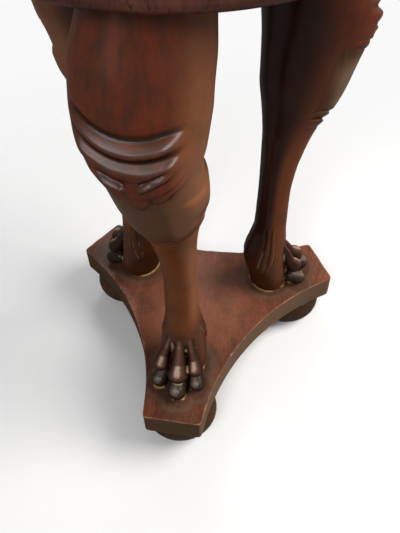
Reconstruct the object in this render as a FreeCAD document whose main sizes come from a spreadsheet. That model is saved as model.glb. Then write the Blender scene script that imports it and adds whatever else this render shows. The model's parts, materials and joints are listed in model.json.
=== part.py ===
"""A teapoy: a round tea chest on three carved animal legs, a three-cornered plinth and bun feet.

Millimetres, +Z up. The origin is on the floor, on the upright axis through the middle of the plinth.
The front leg points along -Y. What stands on the plinth's corners is made three times, turned to the
front, right and left corner.
"""
import FreeCAD, Part
import math
import os
import re
import Sketcher
from FreeCAD import Placement, Rotation, Vector

SIZES = {
    # plinth: three cut corners joined by three hollow sides
    "plinth_reach": 205.0,
    "corner_half_width": 39.0,
    "waist_reach": 98.0,
    "plinth_thickness": 37.0,
    "plinth_edge_chamfer": 0.8,
    # bun feet, turned, each with a spigot in a blind hole
    "foot_height": 50.0,
    "foot_base_radius": 36.0,
    "foot_bead_height": 6.0,
    "foot_groove_height": 1.5,
    "foot_groove_radius": 34.5,
    "foot_neck_radius": 40.0,
    "foot_neck_height": 4.0,
    "spigot_radius": 12.0,
    "spigot_length": 24.0,
    "spigot_clearance": 0.1,
    "hole_end_gap": 1.0,
    # legs
    "leg_height": 525.0,
    "leg_depth": 127.4,
    "knee_half_width": 58.0,
    "knee_set_back": 4.0,
    "front_knee_lean": 10.5,
    # dowels and screws that hold the legs
    "dowel_radius": 8.0,
    "dowel_length": 44.0,
    "dowel_clearance": 0.1,
    "low_dowel_depth": 18.0,
    "high_dowel_depth": 12.0,
    "wood_screw_radius": 2.5,
    "wood_screw_head_radius": 5.0,
    "wood_screw_head_height": 3.0,
    "screw_clearance": 0.05,
    "low_screw_length": 60.0,
    "high_screw_length": 46.0,
    # floor, wall, lining and foot moulding of the chest
    "wall_radius": 188.0,
    "wall_thickness": 14.0,
    "wall_height": 115.0,
    "floor_overhang": 8.0,
    "floor_thickness": 18.0,
    "floor_edge_height": 8.0,
    "floor_edge_width": 10.0,
    "ring_fit": 0.1,
    "moulding_width": 7.0,
    "moulding_height": 11.0,
    "moulding_foot_height": 3.0,
    "lining_thickness": 3.0,
    "lining_lip_height": 4.0,
    # lid
    "lip_clearance": 1.0,
    "lid_rim_height": 18.0,
    "lid_moulding_width": 9.0,
    "lid_moulding_height": 9.0,
    "lid_moulding_edge": 2.0,
    "lid_overhang": 17.0,
    "lid_edge_height": 13.0,
    "lid_step": 8.0,
    "lid_dome_rise": 24.0,
    "lid_lining_thickness": 1.0,
    # board that holds the bowls and canisters, and the ledge under its edge
    "ledge_width": 7.0,
    "ledge_height": 12.0,
    "board_height": 60.0,
    "board_thickness": 8.0,
    "board_clearance": 0.5,
    # mixing bowls
    "bowl_radius": 54.0,
    "bowl_wall_gap": 5.9,
    "bowl_clearance": 1.0,
    "bowl_wall": 3.0,
    "bowl_rim_width": 6.0,
    "bowl_rim_height": 3.0,
    "bowl_base_radius": 24.0,
    "bowl_floor_gap": 16.0,
    "bowl_shoulder_drop": 16.0,
    # canisters
    "canister_rise": 8.0,
    "canister_set_in": 6.0,
    "canister_set_out": 21.8,
    "canister_tuck": 3.0,
    "canister_wall": 5.0,
    "canister_clearance": 1.0,
    "cover_overhang": 2.0,
    "cover_thickness": 3.0,
    "cover_rise": 4.0,
    "cover_slope_width": 12.0,
    "cover_plug_depth": 5.0,
    "cover_plug_clearance": 0.4,
    "knob_neck_radius": 3.5,
    "knob_neck_height": 5.0,
    "knob_height": 13.0,
    # hinges
    "hinge_set_out": 4.0,
    "hinge_near_end": 4.0,
    "hinge_length": 32.0,
    "hinge_barrel_radius": 3.2,
    "hinge_barrel_clearance": 0.3,
    "hinge_pin_radius": 1.6,
    "hinge_pin_clearance": 0.05,
    "hinge_leaf_land": 2.0,
    "hinge_leaf_thickness": 1.6,
    "hinge_leaf_gap": 0.05,
    "hinge_middle_length": 10.8,
    "hinge_end_gap": 0.2,
    "hinge_screw_inset": 7.0,
    "recess_clearance": 0.2,
    "brass_screw_radius": 1.4,
    "brass_screw_head_radius": 2.5,
    "brass_screw_head_height": 1.3,
    "brass_screw_length": 13.0,
    # lock
    "lock_front_land": 4.5,
    "lock_back_land": 1.5,
    "lock_length": 44.0,
    "lock_sheet": 1.2,
    "lock_plate_length": 58.0,
    "lock_plate_lip": 0.7,
    "lock_plate_thickness": 1.5,
    "lock_clearance": 0.1,
    "lock_screw_inset": 3.5,
    "lock_shelf_height": 1.5,
    "lock_shelf_gap": 1.8,
    "key_radius": 2.0,
    "key_clearance": 0.4,
    "key_bit_reach": 6.0,
    "key_bit_thickness": 1.6,
    "key_bit_length": 3.4,
    "key_bolt_gap": 0.5,
    "key_under_gap": 3.8,
    "key_end_gap": 0.5,
    "key_bow_radius": 4.8,
    "key_bow_wire": 1.5,
    "key_shoulder": 1.0,
    "bolt_length": 20.0,
    "bolt_height": 5.0,
    "bolt_drop": 9.5,
    "bolt_end": 4.0,
    "bolt_clearance": 0.3,
    "loop_start": 8.0,
    "loop_thickness": 2.0,
    "loop_clearance": 0.4,
    "loop_foot": 1.2,
    "strike_length": 40.0,
    "strike_screw_inset": 4.0,
    "escutcheon_rim": 1.1,
    "escutcheon_depth": 3.0,
    "escutcheon_stand": 0.6,
    # what cuts right through runs past both faces by this much
    "overrun": 2.0,
}

# The plinth's corners stand evenly round the upright axis, the first one towards -Y. Their
# directions are angles from +X.
CORNERS = ("front", "right", "left")
CORNER_ANGLES = {corner: math.degrees(math.tau * turn / len(CORNERS) - math.pi / 2)
                 for turn, corner in enumerate(CORNERS)}

# An arc's radius as a share of its chord. Half a chord is a half circle, and more is flatter.
BEAD_CURVE_SHARE = 0.6
BULGE_CURVE_SHARE = 0.534
FLOOR_CURVE_SHARE = 0.85
COVE_CURVE_SHARE = 1.04
LID_COVE_CURVE_SHARE = 1.24
BOWL_CURVE_SHARE = 1.19
KNOB_CURVE_SHARE = 1.0

# Places along a leg, as shares of its depth from its back, and the bolt's share of the lock's depth.
PLACE_SHARES = {
    "BOLT": 0.3,
    "FOOT": 0.6075,
    "LOW_DOWEL": 0.254,
    "LOW_SCREW": 0.45,
    "HIGH_DOWEL": 0.27,
    "HIGH_SCREW": 0.537,
}

# One leg in level slices: height as a share of the leg's height, back and front as shares of the
# leg's depth from its back, half width as a share of the knee's, the place of the greatest width as
# a share of the way from back to front, and how far it leans to the left as a share of the knee's
# lean.
LEG_SLICE_SHARES = [
    (0.000, 0.125, 0.514, 0.47, 0.48, 0.),
    (0.016, 0.101, 0.536, 0.52, 0.48, 0.),
    (0.042, 0.085, 0.546, 0.54, 0.48, 0.),
    (0.084, 0.032, 0.533, 0.52, 0.48, -0.03),
    (0.122, 0.004, 0.512, 0.48, 0.50, -0.05),
    (0.149, 0.015, 0.492, 0.42, 0.50, -0.08),
    (0.177, 0.052, 0.480, 0.375, 0.50, -0.11),
    (0.215, 0.106, 0.464, 0.35, 0.50, -0.15),
    (0.257, 0.123, 0.452, 0.34, 0.50, -0.19),
    (0.300, 0.130, 0.450, 0.336, 0.50, -0.23),
    (0.341, 0.135, 0.454, 0.328, 0.50, -0.25),
    (0.385, 0.136, 0.475, 0.331, 0.50, -0.26),
    (0.419, 0.137, 0.498, 0.345, 0.50, -0.26),
    (0.448, 0.137, 0.528, 0.368, 0.51, -0.24),
    (0.476, 0.135, 0.563, 0.40, 0.53, -0.20),
    (0.507, 0.130, 0.612, 0.45, 0.55, -0.15),
    (0.545, 0.120, 0.680, 0.53, 0.57, -0.07),
    (0.590, 0.102, 0.770, 0.645, 0.58, 0.04),
    (0.648, 0.073, 0.868, 0.745, 0.60, 0.21),
    (0.697, 0.071, 0.940, 0.785, 0.61, 0.43),
    (0.743, 0.069, 0.985, 0.845, 0.61, 0.68),
    (0.787, 0.060, 0.985, 0.935, 0.60, 0.88),
    (0.832, 0.041, 0.940, 1., 0.58, 1.),
    (0.886, 0.019, 0.866, 1., 0.56, 0.88),
    (0.943, 0.005, 0.770, 0.92, 0.54, 0.52),
    (1.000, 0.000, 0.690, 0.82, 0.52, 0.),
]
SLICE_POINTS = 16

# Toes and claws of one paw. Each is a rounded lobe between two balls. A ball is given by its place
# as a share of the leg's depth from its back, its place to the side and its radius as shares of the
# knee's half width, and its height as a share of the leg's height. The radius comes last.
TOE_SHARES = [
    ((0.380, 0.00, 0.170, 0.140), (0.639, 0.00, 0.067, 0.232)),
    ((0.380, 0.14, 0.158, 0.120), (0.549, 0.36, 0.068, 0.186)),
    ((0.380, -0.14, 0.158, 0.120), (0.549, -0.36, 0.068, 0.186)),
    ((0.623, 0.00, 0.030, 0.224), (0.751, 0.00, 0.017, 0.160)),
    ((0.522, 0.36, 0.030, 0.207), (0.662, 0.43, 0.016, 0.145)),
    ((0.522, -0.36, 0.030, 0.207), (0.662, -0.43, 0.016, 0.145)),
]

doc = FreeCAD.newDocument("teapoy")
sheet = doc.addObject("Spreadsheet::Sheet", "dims")
for row, (alias, number) in enumerate(SIZES.items(), start=1):
    sheet.set(f"A{row}", alias.replace("_", " "))
    sheet.set(f"B{row}", str(number))
    sheet.setAlias(f"B{row}", alias)
doc.recompute()

# Sums of named sizes are written as text, such as "foot_height + plinth_thickness",
# "- lock_depth/2" or "leg_depth*FOOT", and "zero" stands for none.
TERM = re.compile(r"([+-]?)\s*([a-z_]+)((?:/2|\*[A-Z_]+)*)")


def size(alias):
    """One named size, read from the sheet."""
    return float(sheet.get(alias))


def part_of(share):
    """How much of a size a term takes: all of it, or the halves and shares that it names."""
    whole = 1.0
    for name in re.findall(r"/2|[A-Z_]+", share):
        whole *= 1 / 2 if name == "/2" else PLACE_SHARES[name]
    return whole


def amount(text):
    """The value of a sum."""
    total = 0.0
    for sign, alias, share in TERM.findall(text):
        value = 0.0 if alias == "zero" else size(alias) * part_of(share)
        total += -value if sign == "-" else value
    return total


def formula(text):
    """A sum as an expression on the sheet."""
    words = ["0 mm"]
    for sign, alias, share in TERM.findall(text):
        if alias != "zero":
            words.append(f"{sign or '+'} dims.{alias} * {part_of(share)} * 1 mm")
    return " ".join(words)


def opposite(text):
    """A sum with its sign turned round."""
    turned = {"-": "+", "+": "-", "": "-"}
    return " ".join(f"{turned[sign]} {alias}{share}" for sign, alias, share in TERM.findall(text))


def scaled(text, share="/2"):
    """Half of a sum, or a named share of it."""
    return " ".join(f"{sign or '+'} {alias}{part}{share}" for sign, alias, part in TERM.findall(text))


def bound(text):
    """A sum as a pair: its value and its expression."""
    return amount(text), formula(text)


# Heights from the floor, and places that several pieces share.
PLINTH_UNDER = "foot_height"
PLINTH_TOP = "foot_height + plinth_thickness"
LEG_TOP = PLINTH_TOP + " + leg_height"
FLOOR_TOP = LEG_TOP + " + floor_thickness"
WALL_TOP = FLOOR_TOP + " + wall_height"
LID_UNDER = WALL_TOP + " + lid_rim_height"
BOARD_UNDER = FLOOR_TOP + " + board_height"
BOARD_TOP = BOARD_UNDER + " + board_thickness"
CANISTER_HEIGHT = "board_height + board_thickness + canister_rise"
COVER_UNDER = BOARD_TOP + " + canister_rise"
COVER_TOP = COVER_UNDER + " + cover_thickness + cover_rise"
WALL_BORE = "wall_radius - wall_thickness"
LINING_RADIUS = WALL_BORE + " - ring_fit"
LINING_BORE = LINING_RADIUS + " - lining_thickness"
LID_BORE = WALL_BORE + " + lip_clearance"
LEDGE_RADIUS = LINING_BORE + " - ring_fit"
LEDGE_BORE = LEDGE_RADIUS + " - ledge_width"
LEG_BACK = "plinth_reach - knee_set_back - leg_depth"
FOOT_STAND = LEG_BACK + " + leg_depth*FOOT"
LOW_DOWEL_STAND = LEG_BACK + " + leg_depth*LOW_DOWEL"
LOW_SCREW_STAND = LEG_BACK + " + leg_depth*LOW_SCREW"
HIGH_DOWEL_STAND = LEG_BACK + " + leg_depth*HIGH_DOWEL"
HIGH_SCREW_STAND = LEG_BACK + " + leg_depth*HIGH_SCREW"
WALL_MIDDLE = "wall_radius - wall_thickness/2"
BOWL_STAND = LINING_BORE + " - bowl_wall_gap - bowl_rim_width - bowl_radius"
BOWL_DEPTH = "board_height + board_thickness - bowl_floor_gap"
CANISTER_NEAR = "bowl_radius - canister_set_in"
CANISTER_FAR = LEDGE_BORE + " - canister_set_out"
CANISTER_STAND = scaled(CANISTER_NEAR) + scaled(CANISTER_FAR)
CANISTER_HALF_WIDTH = BOWL_STAND + " - bowl_radius + canister_tuck"
CANISTER_WIDTH = CANISTER_HALF_WIDTH + " + " + CANISTER_HALF_WIDTH
CANISTER_DEPTH = CANISTER_FAR + opposite(CANISTER_NEAR)
KNOB_RADIUS = "knob_height - knob_neck_height"
HINGE_Y = "wall_radius + hinge_set_out"
HINGE_REACH = "hinge_set_out + wall_thickness - hinge_leaf_land"
LOCK_DEPTH = "wall_thickness - lock_front_land - lock_back_land"
LOCK_STAND = "wall_radius - lock_front_land" + opposite(scaled(LOCK_DEPTH))
BOLT_THICKNESS = scaled(LOCK_DEPTH, "*BOLT")
BOLT_UNDER = WALL_TOP + " - bolt_drop - bolt_height"
KEY_Z = BOLT_UNDER + " - key_bolt_gap - key_bit_reach"
LOCK_UNDER = KEY_Z + " - key_bit_reach - key_under_gap - lock_sheet"
LOCK_HEIGHT = WALL_TOP + opposite(LOCK_UNDER)

pieces = []


def piece(thing, label):
    """Names a finished piece and lists it for writing out."""
    thing.Label = label
    pieces.append(thing)
    return thing


def place(thing, x="zero", y="zero", z="zero"):
    """Places a thing at sums of named sizes."""
    for axis, text in zip("xyz", (x, y, z)):
        thing.setExpression(f"Placement.Base.{axis}", formula(text))
    return thing


def place_on_spoke(thing, angle, stand, z):
    """Places a thing along a corner's direction, at a distance from the upright axis."""
    thing.setExpression("Placement.Base.x", f"({formula(stand)}) * cos({angle} deg)")
    thing.setExpression("Placement.Base.y", f"({formula(stand)}) * sin({angle} deg)")
    thing.setExpression("Placement.Base.z", formula(z))
    return thing


def block(x, y, z, length, width, height):
    """A box from its lowest corner."""
    thing = doc.addObject("Part::Box", "block")
    for name, text in (("Length", length), ("Width", width), ("Height", height)):
        thing.setExpression(name, formula(text))
    return place(thing, x, y, z)


def centred_block(x, y, z, length, width, height):
    """A box whose foot is centred on a point. Its length and width are sums."""
    half_length = opposite(scaled(length))
    half_width = opposite(scaled(width))
    return block(f"{x} {half_length}", f"{y} {half_width}", z, length, width, height)


def rod(radius, length, turn=None):
    """A cylinder along +Z, or turned to run along +X or -Y."""
    thing = doc.addObject("Part::Cylinder", "rod")
    thing.setExpression("Radius", formula(radius))
    thing.setExpression("Height", formula(length))
    if turn == "+x":
        thing.Placement = Placement(Vector(), Rotation(Vector(0, 1, 0), 90))
    if turn == "-y":
        thing.Placement = Placement(Vector(), Rotation(Vector(1, 0, 0), 90))
    return thing


def group(things):
    """Several solids as one group."""
    thing = doc.addObject("Part::Compound", "group")
    thing.Links = things
    return thing


def joined(things):
    """Several solids made one."""
    thing = doc.addObject("Part::MultiFuse", "joined")
    thing.Shapes = things
    return thing


def cut(base, tools):
    """A solid less its tools."""
    thing = doc.addObject("Part::Cut", "cut")
    thing.Base = base
    thing.Tool = tools[0] if len(tools) == 1 else joined(tools)
    return thing


def origin_plane(body, role):
    """One of a body's own origin planes."""
    return next(feature for feature in body.Origin.OriginFeatures if feature.Role == role)


def new_sketch(body, role):
    """A sketch on one of a body's origin planes."""
    sketch = body.newObject("Sketcher::SketchObject", "outline")
    sketch.AttachmentSupport = [(origin_plane(body, role), "")]
    sketch.MapMode = "FlatFace"
    return sketch


def hold_point(sketch, element, end, x, y):
    """Holds one end of an element at bound distances from the sketch's origin."""
    for kind, axis, (value, expression) in (("DistanceX", -2, x), ("DistanceY", -1, y)):
        if value == 0:
            sketch.addConstraint(Sketcher.Constraint("PointOnObject", element, end, axis))
        elif value > 0:
            index = sketch.addConstraint(Sketcher.Constraint(kind, -1, 1, element, end, value))
            sketch.setExpression(f"Constraints[{index}]", expression)
        else:
            index = sketch.addConstraint(Sketcher.Constraint(kind, element, end, -1, 1, -value))
            sketch.setExpression(f"Constraints[{index}]", f"-({expression})")


def add_arc(sketch, start, end, radius, hollow):
    """An arc of at most a half circle from start to end. It bulges to the right of the way, or to
    the left where it is hollow. Returns the element and which of its ends is the start."""
    chord = end - start
    left = Vector(-chord.y, chord.x, 0).normalize()
    depth = math.sqrt(radius**2 - (chord.Length / 2) ** 2)
    centre = (start + end) * 0.5 + left * (-depth if hollow else depth)
    first, last = (end, start) if hollow else (start, end)
    first_angle = math.atan2(first.y - centre.y, first.x - centre.x)
    last_angle = math.atan2(last.y - centre.y, last.x - centre.x)
    if last_angle < first_angle:
        last_angle += 2 * math.pi
    circle = Part.Circle(centre, Vector(0, 0, 1), radius)
    element = sketch.addGeometry(Part.ArcOfCircle(circle, first_angle, last_angle), False)
    return element, 2 if hollow else 1


def chord_curve(corner, following, curve):
    """The radius of the arc between two corners as a bound pair. A share is of the chord."""
    if not isinstance(curve, float):
        return curve
    (x, x_text), (y, y_text) = corner[:2]
    (next_x, next_x_text), (next_y, next_y_text) = following[:2]
    across, up = f"(({next_x_text}) - ({x_text}))", f"(({next_y_text}) - ({y_text}))"
    return curve * math.hypot(next_x - x, next_y - y), f"{curve} * sqrt({across}^2 + {up}^2)"


def draw(sketch, corners):
    """Draws a closed outline, anticlockwise. Each corner is (x, y) or (x, y, (way, radius)), where
    way is "round" or "hollow" and tells how the arc that follows the corner bulges. The radius is a
    bound pair, or a share of the arc's chord."""
    count = len(corners)
    points = [Vector(corner[0][0], corner[1][0], 0) for corner in corners]
    spans = []
    for i, corner in enumerate(corners):
        start, end = points[i], points[(i + 1) % count]
        if len(corner) == 2:
            element, first = sketch.addGeometry(Part.LineSegment(start, end), False), 1
        else:
            way, curve = corner[2]
            radius, expression = chord_curve(corner, corners[(i + 1) % count], curve)
            element, first = add_arc(sketch, start, end, radius, way == "hollow")
            index = sketch.addConstraint(Sketcher.Constraint("Radius", element, radius))
            sketch.setExpression(f"Constraints[{index}]", expression)
        hold_point(sketch, element, first, corner[0], corner[1])
        spans.append((element, first))
    for (element, first), (following, start) in zip(spans, spans[1:] + spans[:1]):
        sketch.addConstraint(Sketcher.Constraint("Coincident", element, 3 - first, following, start))


def turned(name, corners):
    """A piece turned on the lathe: its half section, from the axis outwards, revolved about +Z."""
    body = doc.addObject("PartDesign::Body", name)
    sketch = new_sketch(body, "XZ_Plane")
    rows = []
    for corner in corners:
        row = [bound(corner[0]), bound(corner[1])]
        if len(corner) > 2:
            way, radius = corner[2]
            row.append((way, bound(radius) if isinstance(radius, str) else radius))
        rows.append(row)
    draw(sketch, rows)
    revolution = body.newObject("PartDesign::Revolution", "turning")
    revolution.Profile = sketch
    revolution.ReferenceAxis = (sketch, ["V_Axis"])
    revolution.Angle = 360
    body.Tip = revolution
    return body


def ring(name, bore, radius, height):
    """A plain turned ring."""
    return turned(name, [(bore, "zero"), (radius, "zero"), (radius, height), (bore, height)])


def cap_curve(half_chord, rise):
    """The radius of an arc of a given half chord and rise, as a bound pair."""
    a, b = amount(half_chord), amount(rise)
    a_text, b_text = formula(half_chord), formula(rise)
    return (a * a + b * b) / (2 * b), f"(({a_text})^2 + ({b_text})^2) / (2 * ({b_text}))"


def screw(kind, length, upward, slack="zero"):
    """A countersunk screw from the plane of its head, or with slack the hole that it needs."""
    head = doc.addObject("Part::Cone", "head")
    shank = doc.addObject("Part::Cylinder", "shank")
    wide, narrow = formula(f"{kind}_head_radius + {slack}"), formula(f"{kind}_radius + {slack}")
    head.setExpression("Radius1", wide if upward else narrow)
    head.setExpression("Radius2", narrow if upward else wide)
    head.setExpression("Height", formula(f"{kind}_head_height"))
    shank.setExpression("Radius", narrow)
    shank.setExpression("Height", formula(f"{length} + {slack}"))
    place(head, z="zero" if upward else f"- {kind}_head_height")
    place(shank, z="zero" if upward else opposite(f"{length} + {slack}"))
    return joined([head, shank])


def screws_and_holes(kind, length, upward, places):
    """A group of screws with their holes. Each place is a function that places a thing."""
    screws, holes = [], []
    for put in places:
        screws.append(put(screw(kind, length, upward)))
        holes.append(put(screw(kind, length, upward, "screw_clearance")))
    return group(screws), holes


def at(x, y, z):
    """A function that places a thing at sums of named sizes."""
    return lambda thing: place(thing, x, y, z)


def on_spoke(angle, stand, z):
    """A function that places a thing along a corner's direction."""
    return lambda thing: place_on_spoke(thing, angle, stand, z)


def make_plinth(holes):
    """The plinth: three cut corners joined by three hollow arcs, with its edges eased."""
    body = doc.addObject("PartDesign::Body", "plinth_body")
    sketch = new_sketch(body, "XY_Plane")
    reach, half = size("plinth_reach"), size("corner_half_width")
    reach_text, half_text = formula("plinth_reach"), formula("corner_half_width")
    half_chord = reach * math.sin(math.radians(60)) - half / 2
    hollow = half * math.sin(math.radians(60)) + reach / 2 - size("waist_reach")
    chord_text = f"(({reach_text}) * sin(60 deg) - ({half_text}) / 2)"
    hollow_text = f"(({half_text}) * sin(60 deg) + ({reach_text}) / 2 - ({formula('waist_reach')}))"
    curve = (half_chord**2 + hollow**2) / (2 * hollow)
    curve_text = f"({chord_text}^2 + {hollow_text}^2) / (2 * {hollow_text})"
    corners = []
    for angle in CORNER_ANGLES.values():
        along, across = math.cos(math.radians(angle)), math.sin(math.radians(angle))
        for side in (-1, 1):
            x = (reach * along - side * half * across,
                 f"({reach_text}) * cos({angle} deg) - {side} * ({half_text}) * sin({angle} deg)")
            y = (reach * across + side * half * along,
                 f"({reach_text}) * sin({angle} deg) + {side} * ({half_text}) * cos({angle} deg)")
            corners.append([x, y] if side < 0 else [x, y, ("hollow", (curve, curve_text))])
    draw(sketch, corners)
    pad = body.newObject("PartDesign::Pad", "slab")
    pad.Profile = sketch
    pad.setExpression("Length", formula("plinth_thickness"))
    body.Tip = pad
    doc.recompute()
    level = [f"Edge{i}" for i, edge in enumerate(pad.Shape.Edges, start=1)
             if edge.BoundBox.ZLength < size("plinth_edge_chamfer") / 2]
    chamfer = body.newObject("PartDesign::Chamfer", "eased_edges")
    chamfer.Base = (pad, level)
    chamfer.setExpression("Size", formula("plinth_edge_chamfer"))
    body.Tip = chamfer
    place(body, z=PLINTH_UNDER)
    for angle in CORNER_ANGLES.values():
        dowel_hole = rod("dowel_radius + dowel_clearance", "low_dowel_depth + hole_end_gap + overrun")
        low = PLINTH_TOP + " - low_dowel_depth - hole_end_gap"
        holes.append(place_on_spoke(dowel_hole, angle, LOW_DOWEL_STAND, low))
        spigot_hole = rod("spigot_radius + spigot_clearance", "spigot_length + hole_end_gap + overrun")
        holes.append(place_on_spoke(spigot_hole, angle, FOOT_STAND, PLINTH_UNDER + " - overrun"))
    return piece(cut(body, holes), "plinth")


def make_feet():
    """A bun foot under each corner: a bead on the floor, a groove, the bun and a spigot."""
    groove_foot = "foot_bead_height + foot_groove_height"
    for corner, angle in CORNER_ANGLES.items():
        foot = turned("foot", [
            ("zero", "zero"),
            ("foot_base_radius", "zero", ("round", BEAD_CURVE_SHARE)),
            ("foot_base_radius", "foot_bead_height"),
            ("foot_groove_radius", "foot_bead_height"),
            ("foot_groove_radius", groove_foot, ("round", BULGE_CURVE_SHARE)),
            ("foot_neck_radius", "foot_height - foot_neck_height"),
            ("foot_neck_radius", "foot_height"),
            ("spigot_radius", "foot_height"),
            ("spigot_radius", "foot_height + spigot_length"),
            ("zero", "foot_height + spigot_length"),
        ])
        place_on_spoke(foot, angle, FOOT_STAND, "zero")
        piece(foot, f"bun_foot_{corner}")


def leg_slice(shares, lean):
    """One level slice of the leg as a closed egg-shaped curve, with the leg along +X."""
    height_share, back_share, front_share, width_share, widest_share, lean_share = shares
    back, front = (amount(LEG_BACK) + share * size("leg_depth") for share in (back_share, front_share))
    half_width = width_share * size("knee_half_width")
    widest = back + widest_share * (front - back)
    middle = - lean_share * amount(lean)
    points = []
    for k in range(SLICE_POINTS):
        turn = 2 * math.pi * k / SLICE_POINTS
        length = front - widest if math.cos(turn) > 0 else widest - back
        points.append(Vector(widest + length * math.cos(turn), middle + half_width * math.sin(turn),
                             height_share * size("leg_height")))
    curve = Part.BSplineCurve()
    curve.interpolate(Points=points, PeriodicFlag=True)
    return Part.Wire([curve.toShape()])


def lobe(root, tip, root_radius, tip_radius):
    """A rounded lobe: two balls and the cone that touches both."""
    length = (tip - root).Length
    touch = math.pi / 2 - math.asin((root_radius - tip_radius) / length)

    def on_ball(along, radius, angle):
        return Vector(radius * math.sin(angle), 0, along + radius * math.cos(angle))

    start = on_ball(0, root_radius, math.pi)
    start_middle = on_ball(0, root_radius, (math.pi + touch) / 2)
    root_touch = on_ball(0, root_radius, touch)
    tip_touch = on_ball(length, tip_radius, touch)
    tip_middle = on_ball(length, tip_radius, touch / 2)
    finish = on_ball(length, tip_radius, 0)
    edges = [
        Part.Arc(start, start_middle, root_touch).toShape(),
        Part.LineSegment(root_touch, tip_touch).toShape(),
        Part.Arc(tip_touch, tip_middle, finish).toShape(),
        Part.LineSegment(finish, start).toShape(),
    ]
    solid = Part.Face(Part.Wire(edges)).revolve(Vector(), Vector(0, 0, 1), 360)
    solid.Placement = Placement(root, Rotation(Vector(0, 0, 1), tip - root))
    return solid


def leg_shape(lean):
    """One leg along +X, standing on its own foot: the shank, the paw and its holes."""
    leg = Part.makeLoft([leg_slice(shares, lean) for shares in LEG_SLICE_SHARES], True, False)
    depth, half, height = size("leg_depth"), size("knee_half_width"), size("leg_height")
    back = amount(LEG_BACK)
    lobes = []
    for balls in TOE_SHARES:
        root, tip = (Vector(back + ball[0] * depth, ball[1] * half, ball[2] * height) for ball in balls)
        lobes.append(lobe(root, tip, balls[0][3] * half, balls[1][3] * half))
    leg = leg.fuse(lobes)
    under = Part.makeBox(depth, half + half, half, Vector(back, -half, -half))
    dowel_radius = size("dowel_radius") + size("dowel_clearance")
    low_hole = size("dowel_length") - size("low_dowel_depth") + size("hole_end_gap")
    high_hole = size("dowel_length") - size("high_dowel_depth") + size("hole_end_gap")
    screw_radius = size("wood_screw_radius") + size("screw_clearance")
    low_screw = size("low_screw_length") - size("plinth_thickness") + size("screw_clearance")
    high_screw = size("high_screw_length") - size("floor_thickness") + size("screw_clearance")
    overrun = size("overrun")
    holes = [
        Part.makeCylinder(dowel_radius, low_hole + overrun, Vector(amount(LOW_DOWEL_STAND), 0, -overrun)),
        Part.makeCylinder(dowel_radius, high_hole + overrun,
                          Vector(amount(HIGH_DOWEL_STAND), 0, height - high_hole)),
        Part.makeCylinder(screw_radius, low_screw + overrun, Vector(amount(LOW_SCREW_STAND), 0, -overrun)),
        Part.makeCylinder(screw_radius, high_screw + overrun,
                          Vector(amount(HIGH_SCREW_STAND), 0, height - high_screw)),
    ]
    return leg.cut([under] + holes)


def make_legs():
    """The same carved leg on each corner. The front one's knee leans a little to the left."""
    straight, leaning = leg_shape("zero"), leg_shape("front_knee_lean")
    for corner, angle in CORNER_ANGLES.items():
        leg = doc.addObject("Part::Feature", "leg")
        leg.Shape = leaning if corner == "front" else straight
        leg.Placement = Placement(Vector(0, 0, amount(PLINTH_TOP)), Rotation(Vector(0, 0, 1), angle))
        piece(leg, f"leg_{corner}")


def make_dowels():
    """Dowels that tie the legs to the plinth below and to the chest's floor above."""
    for label, stand, low in (
        ("plinth_dowels", LOW_DOWEL_STAND, PLINTH_TOP + " - low_dowel_depth"),
        ("chest_dowels", HIGH_DOWEL_STAND, LEG_TOP + " + high_dowel_depth - dowel_length"),
    ):
        dowels = [place_on_spoke(rod("dowel_radius", "dowel_length"), angle, stand, low)
                  for angle in CORNER_ANGLES.values()]
        piece(group(dowels), label)


def make_chest_floor(holes):
    """The round floor of the chest, with a rounded lower edge."""
    radius = "wall_radius + floor_overhang"
    floor = turned("floor", [
        ("zero", "zero"),
        (radius + " - floor_edge_width", "zero", ("round", FLOOR_CURVE_SHARE)),
        (radius, "floor_thickness - floor_edge_height"),
        (radius, "floor_thickness"),
        ("zero", "floor_thickness"),
    ])
    place(floor, z=LEG_TOP)
    for angle in CORNER_ANGLES.values():
        hole = rod("dowel_radius + dowel_clearance", "high_dowel_depth + hole_end_gap + overrun")
        holes.append(place_on_spoke(hole, angle, HIGH_DOWEL_STAND, LEG_TOP + " - overrun"))
    piece(cut(floor, holes), "chest_floor")


def make_mouldings():
    """The hollow mouldings at the foot of the wall and under the lid."""
    bore = "wall_radius + ring_fit"
    foot = turned("moulding", [
        (bore, "zero"),
        ("wall_radius + moulding_width", "zero"),
        ("wall_radius + moulding_width", "moulding_foot_height", ("hollow", COVE_CURVE_SHARE)),
        (bore, "moulding_height"),
    ])
    piece(place(foot, z=FLOOR_TOP), "foot_moulding")
    head = turned("moulding", [
        (bore, "zero", ("hollow", LID_COVE_CURVE_SHARE)),
        ("wall_radius + lid_moulding_width", "lid_moulding_height - lid_moulding_edge"),
        ("wall_radius + lid_moulding_width", "lid_moulding_height"),
        (bore, "lid_moulding_height"),
    ])
    piece(place(head, z=LID_UNDER + " - lid_moulding_height"), "lid_moulding")


def make_drum(wall_cuts, rim_cuts):
    """The chest's wall and lining, and the rim of the lid that closes on them."""
    wall = place(ring("wall", WALL_BORE, "wall_radius", "wall_height"), z=FLOOR_TOP)
    piece(cut(wall, wall_cuts), "chest_wall")
    lining = ring("lining", LINING_BORE, LINING_RADIUS, "wall_height + lining_lip_height")
    piece(place(lining, z=FLOOR_TOP), "chest_lining")
    rim = place(ring("rim", LID_BORE, "wall_radius", "lid_rim_height"), z=WALL_TOP)
    piece(cut(rim, rim_cuts), "lid_rim")


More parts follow.
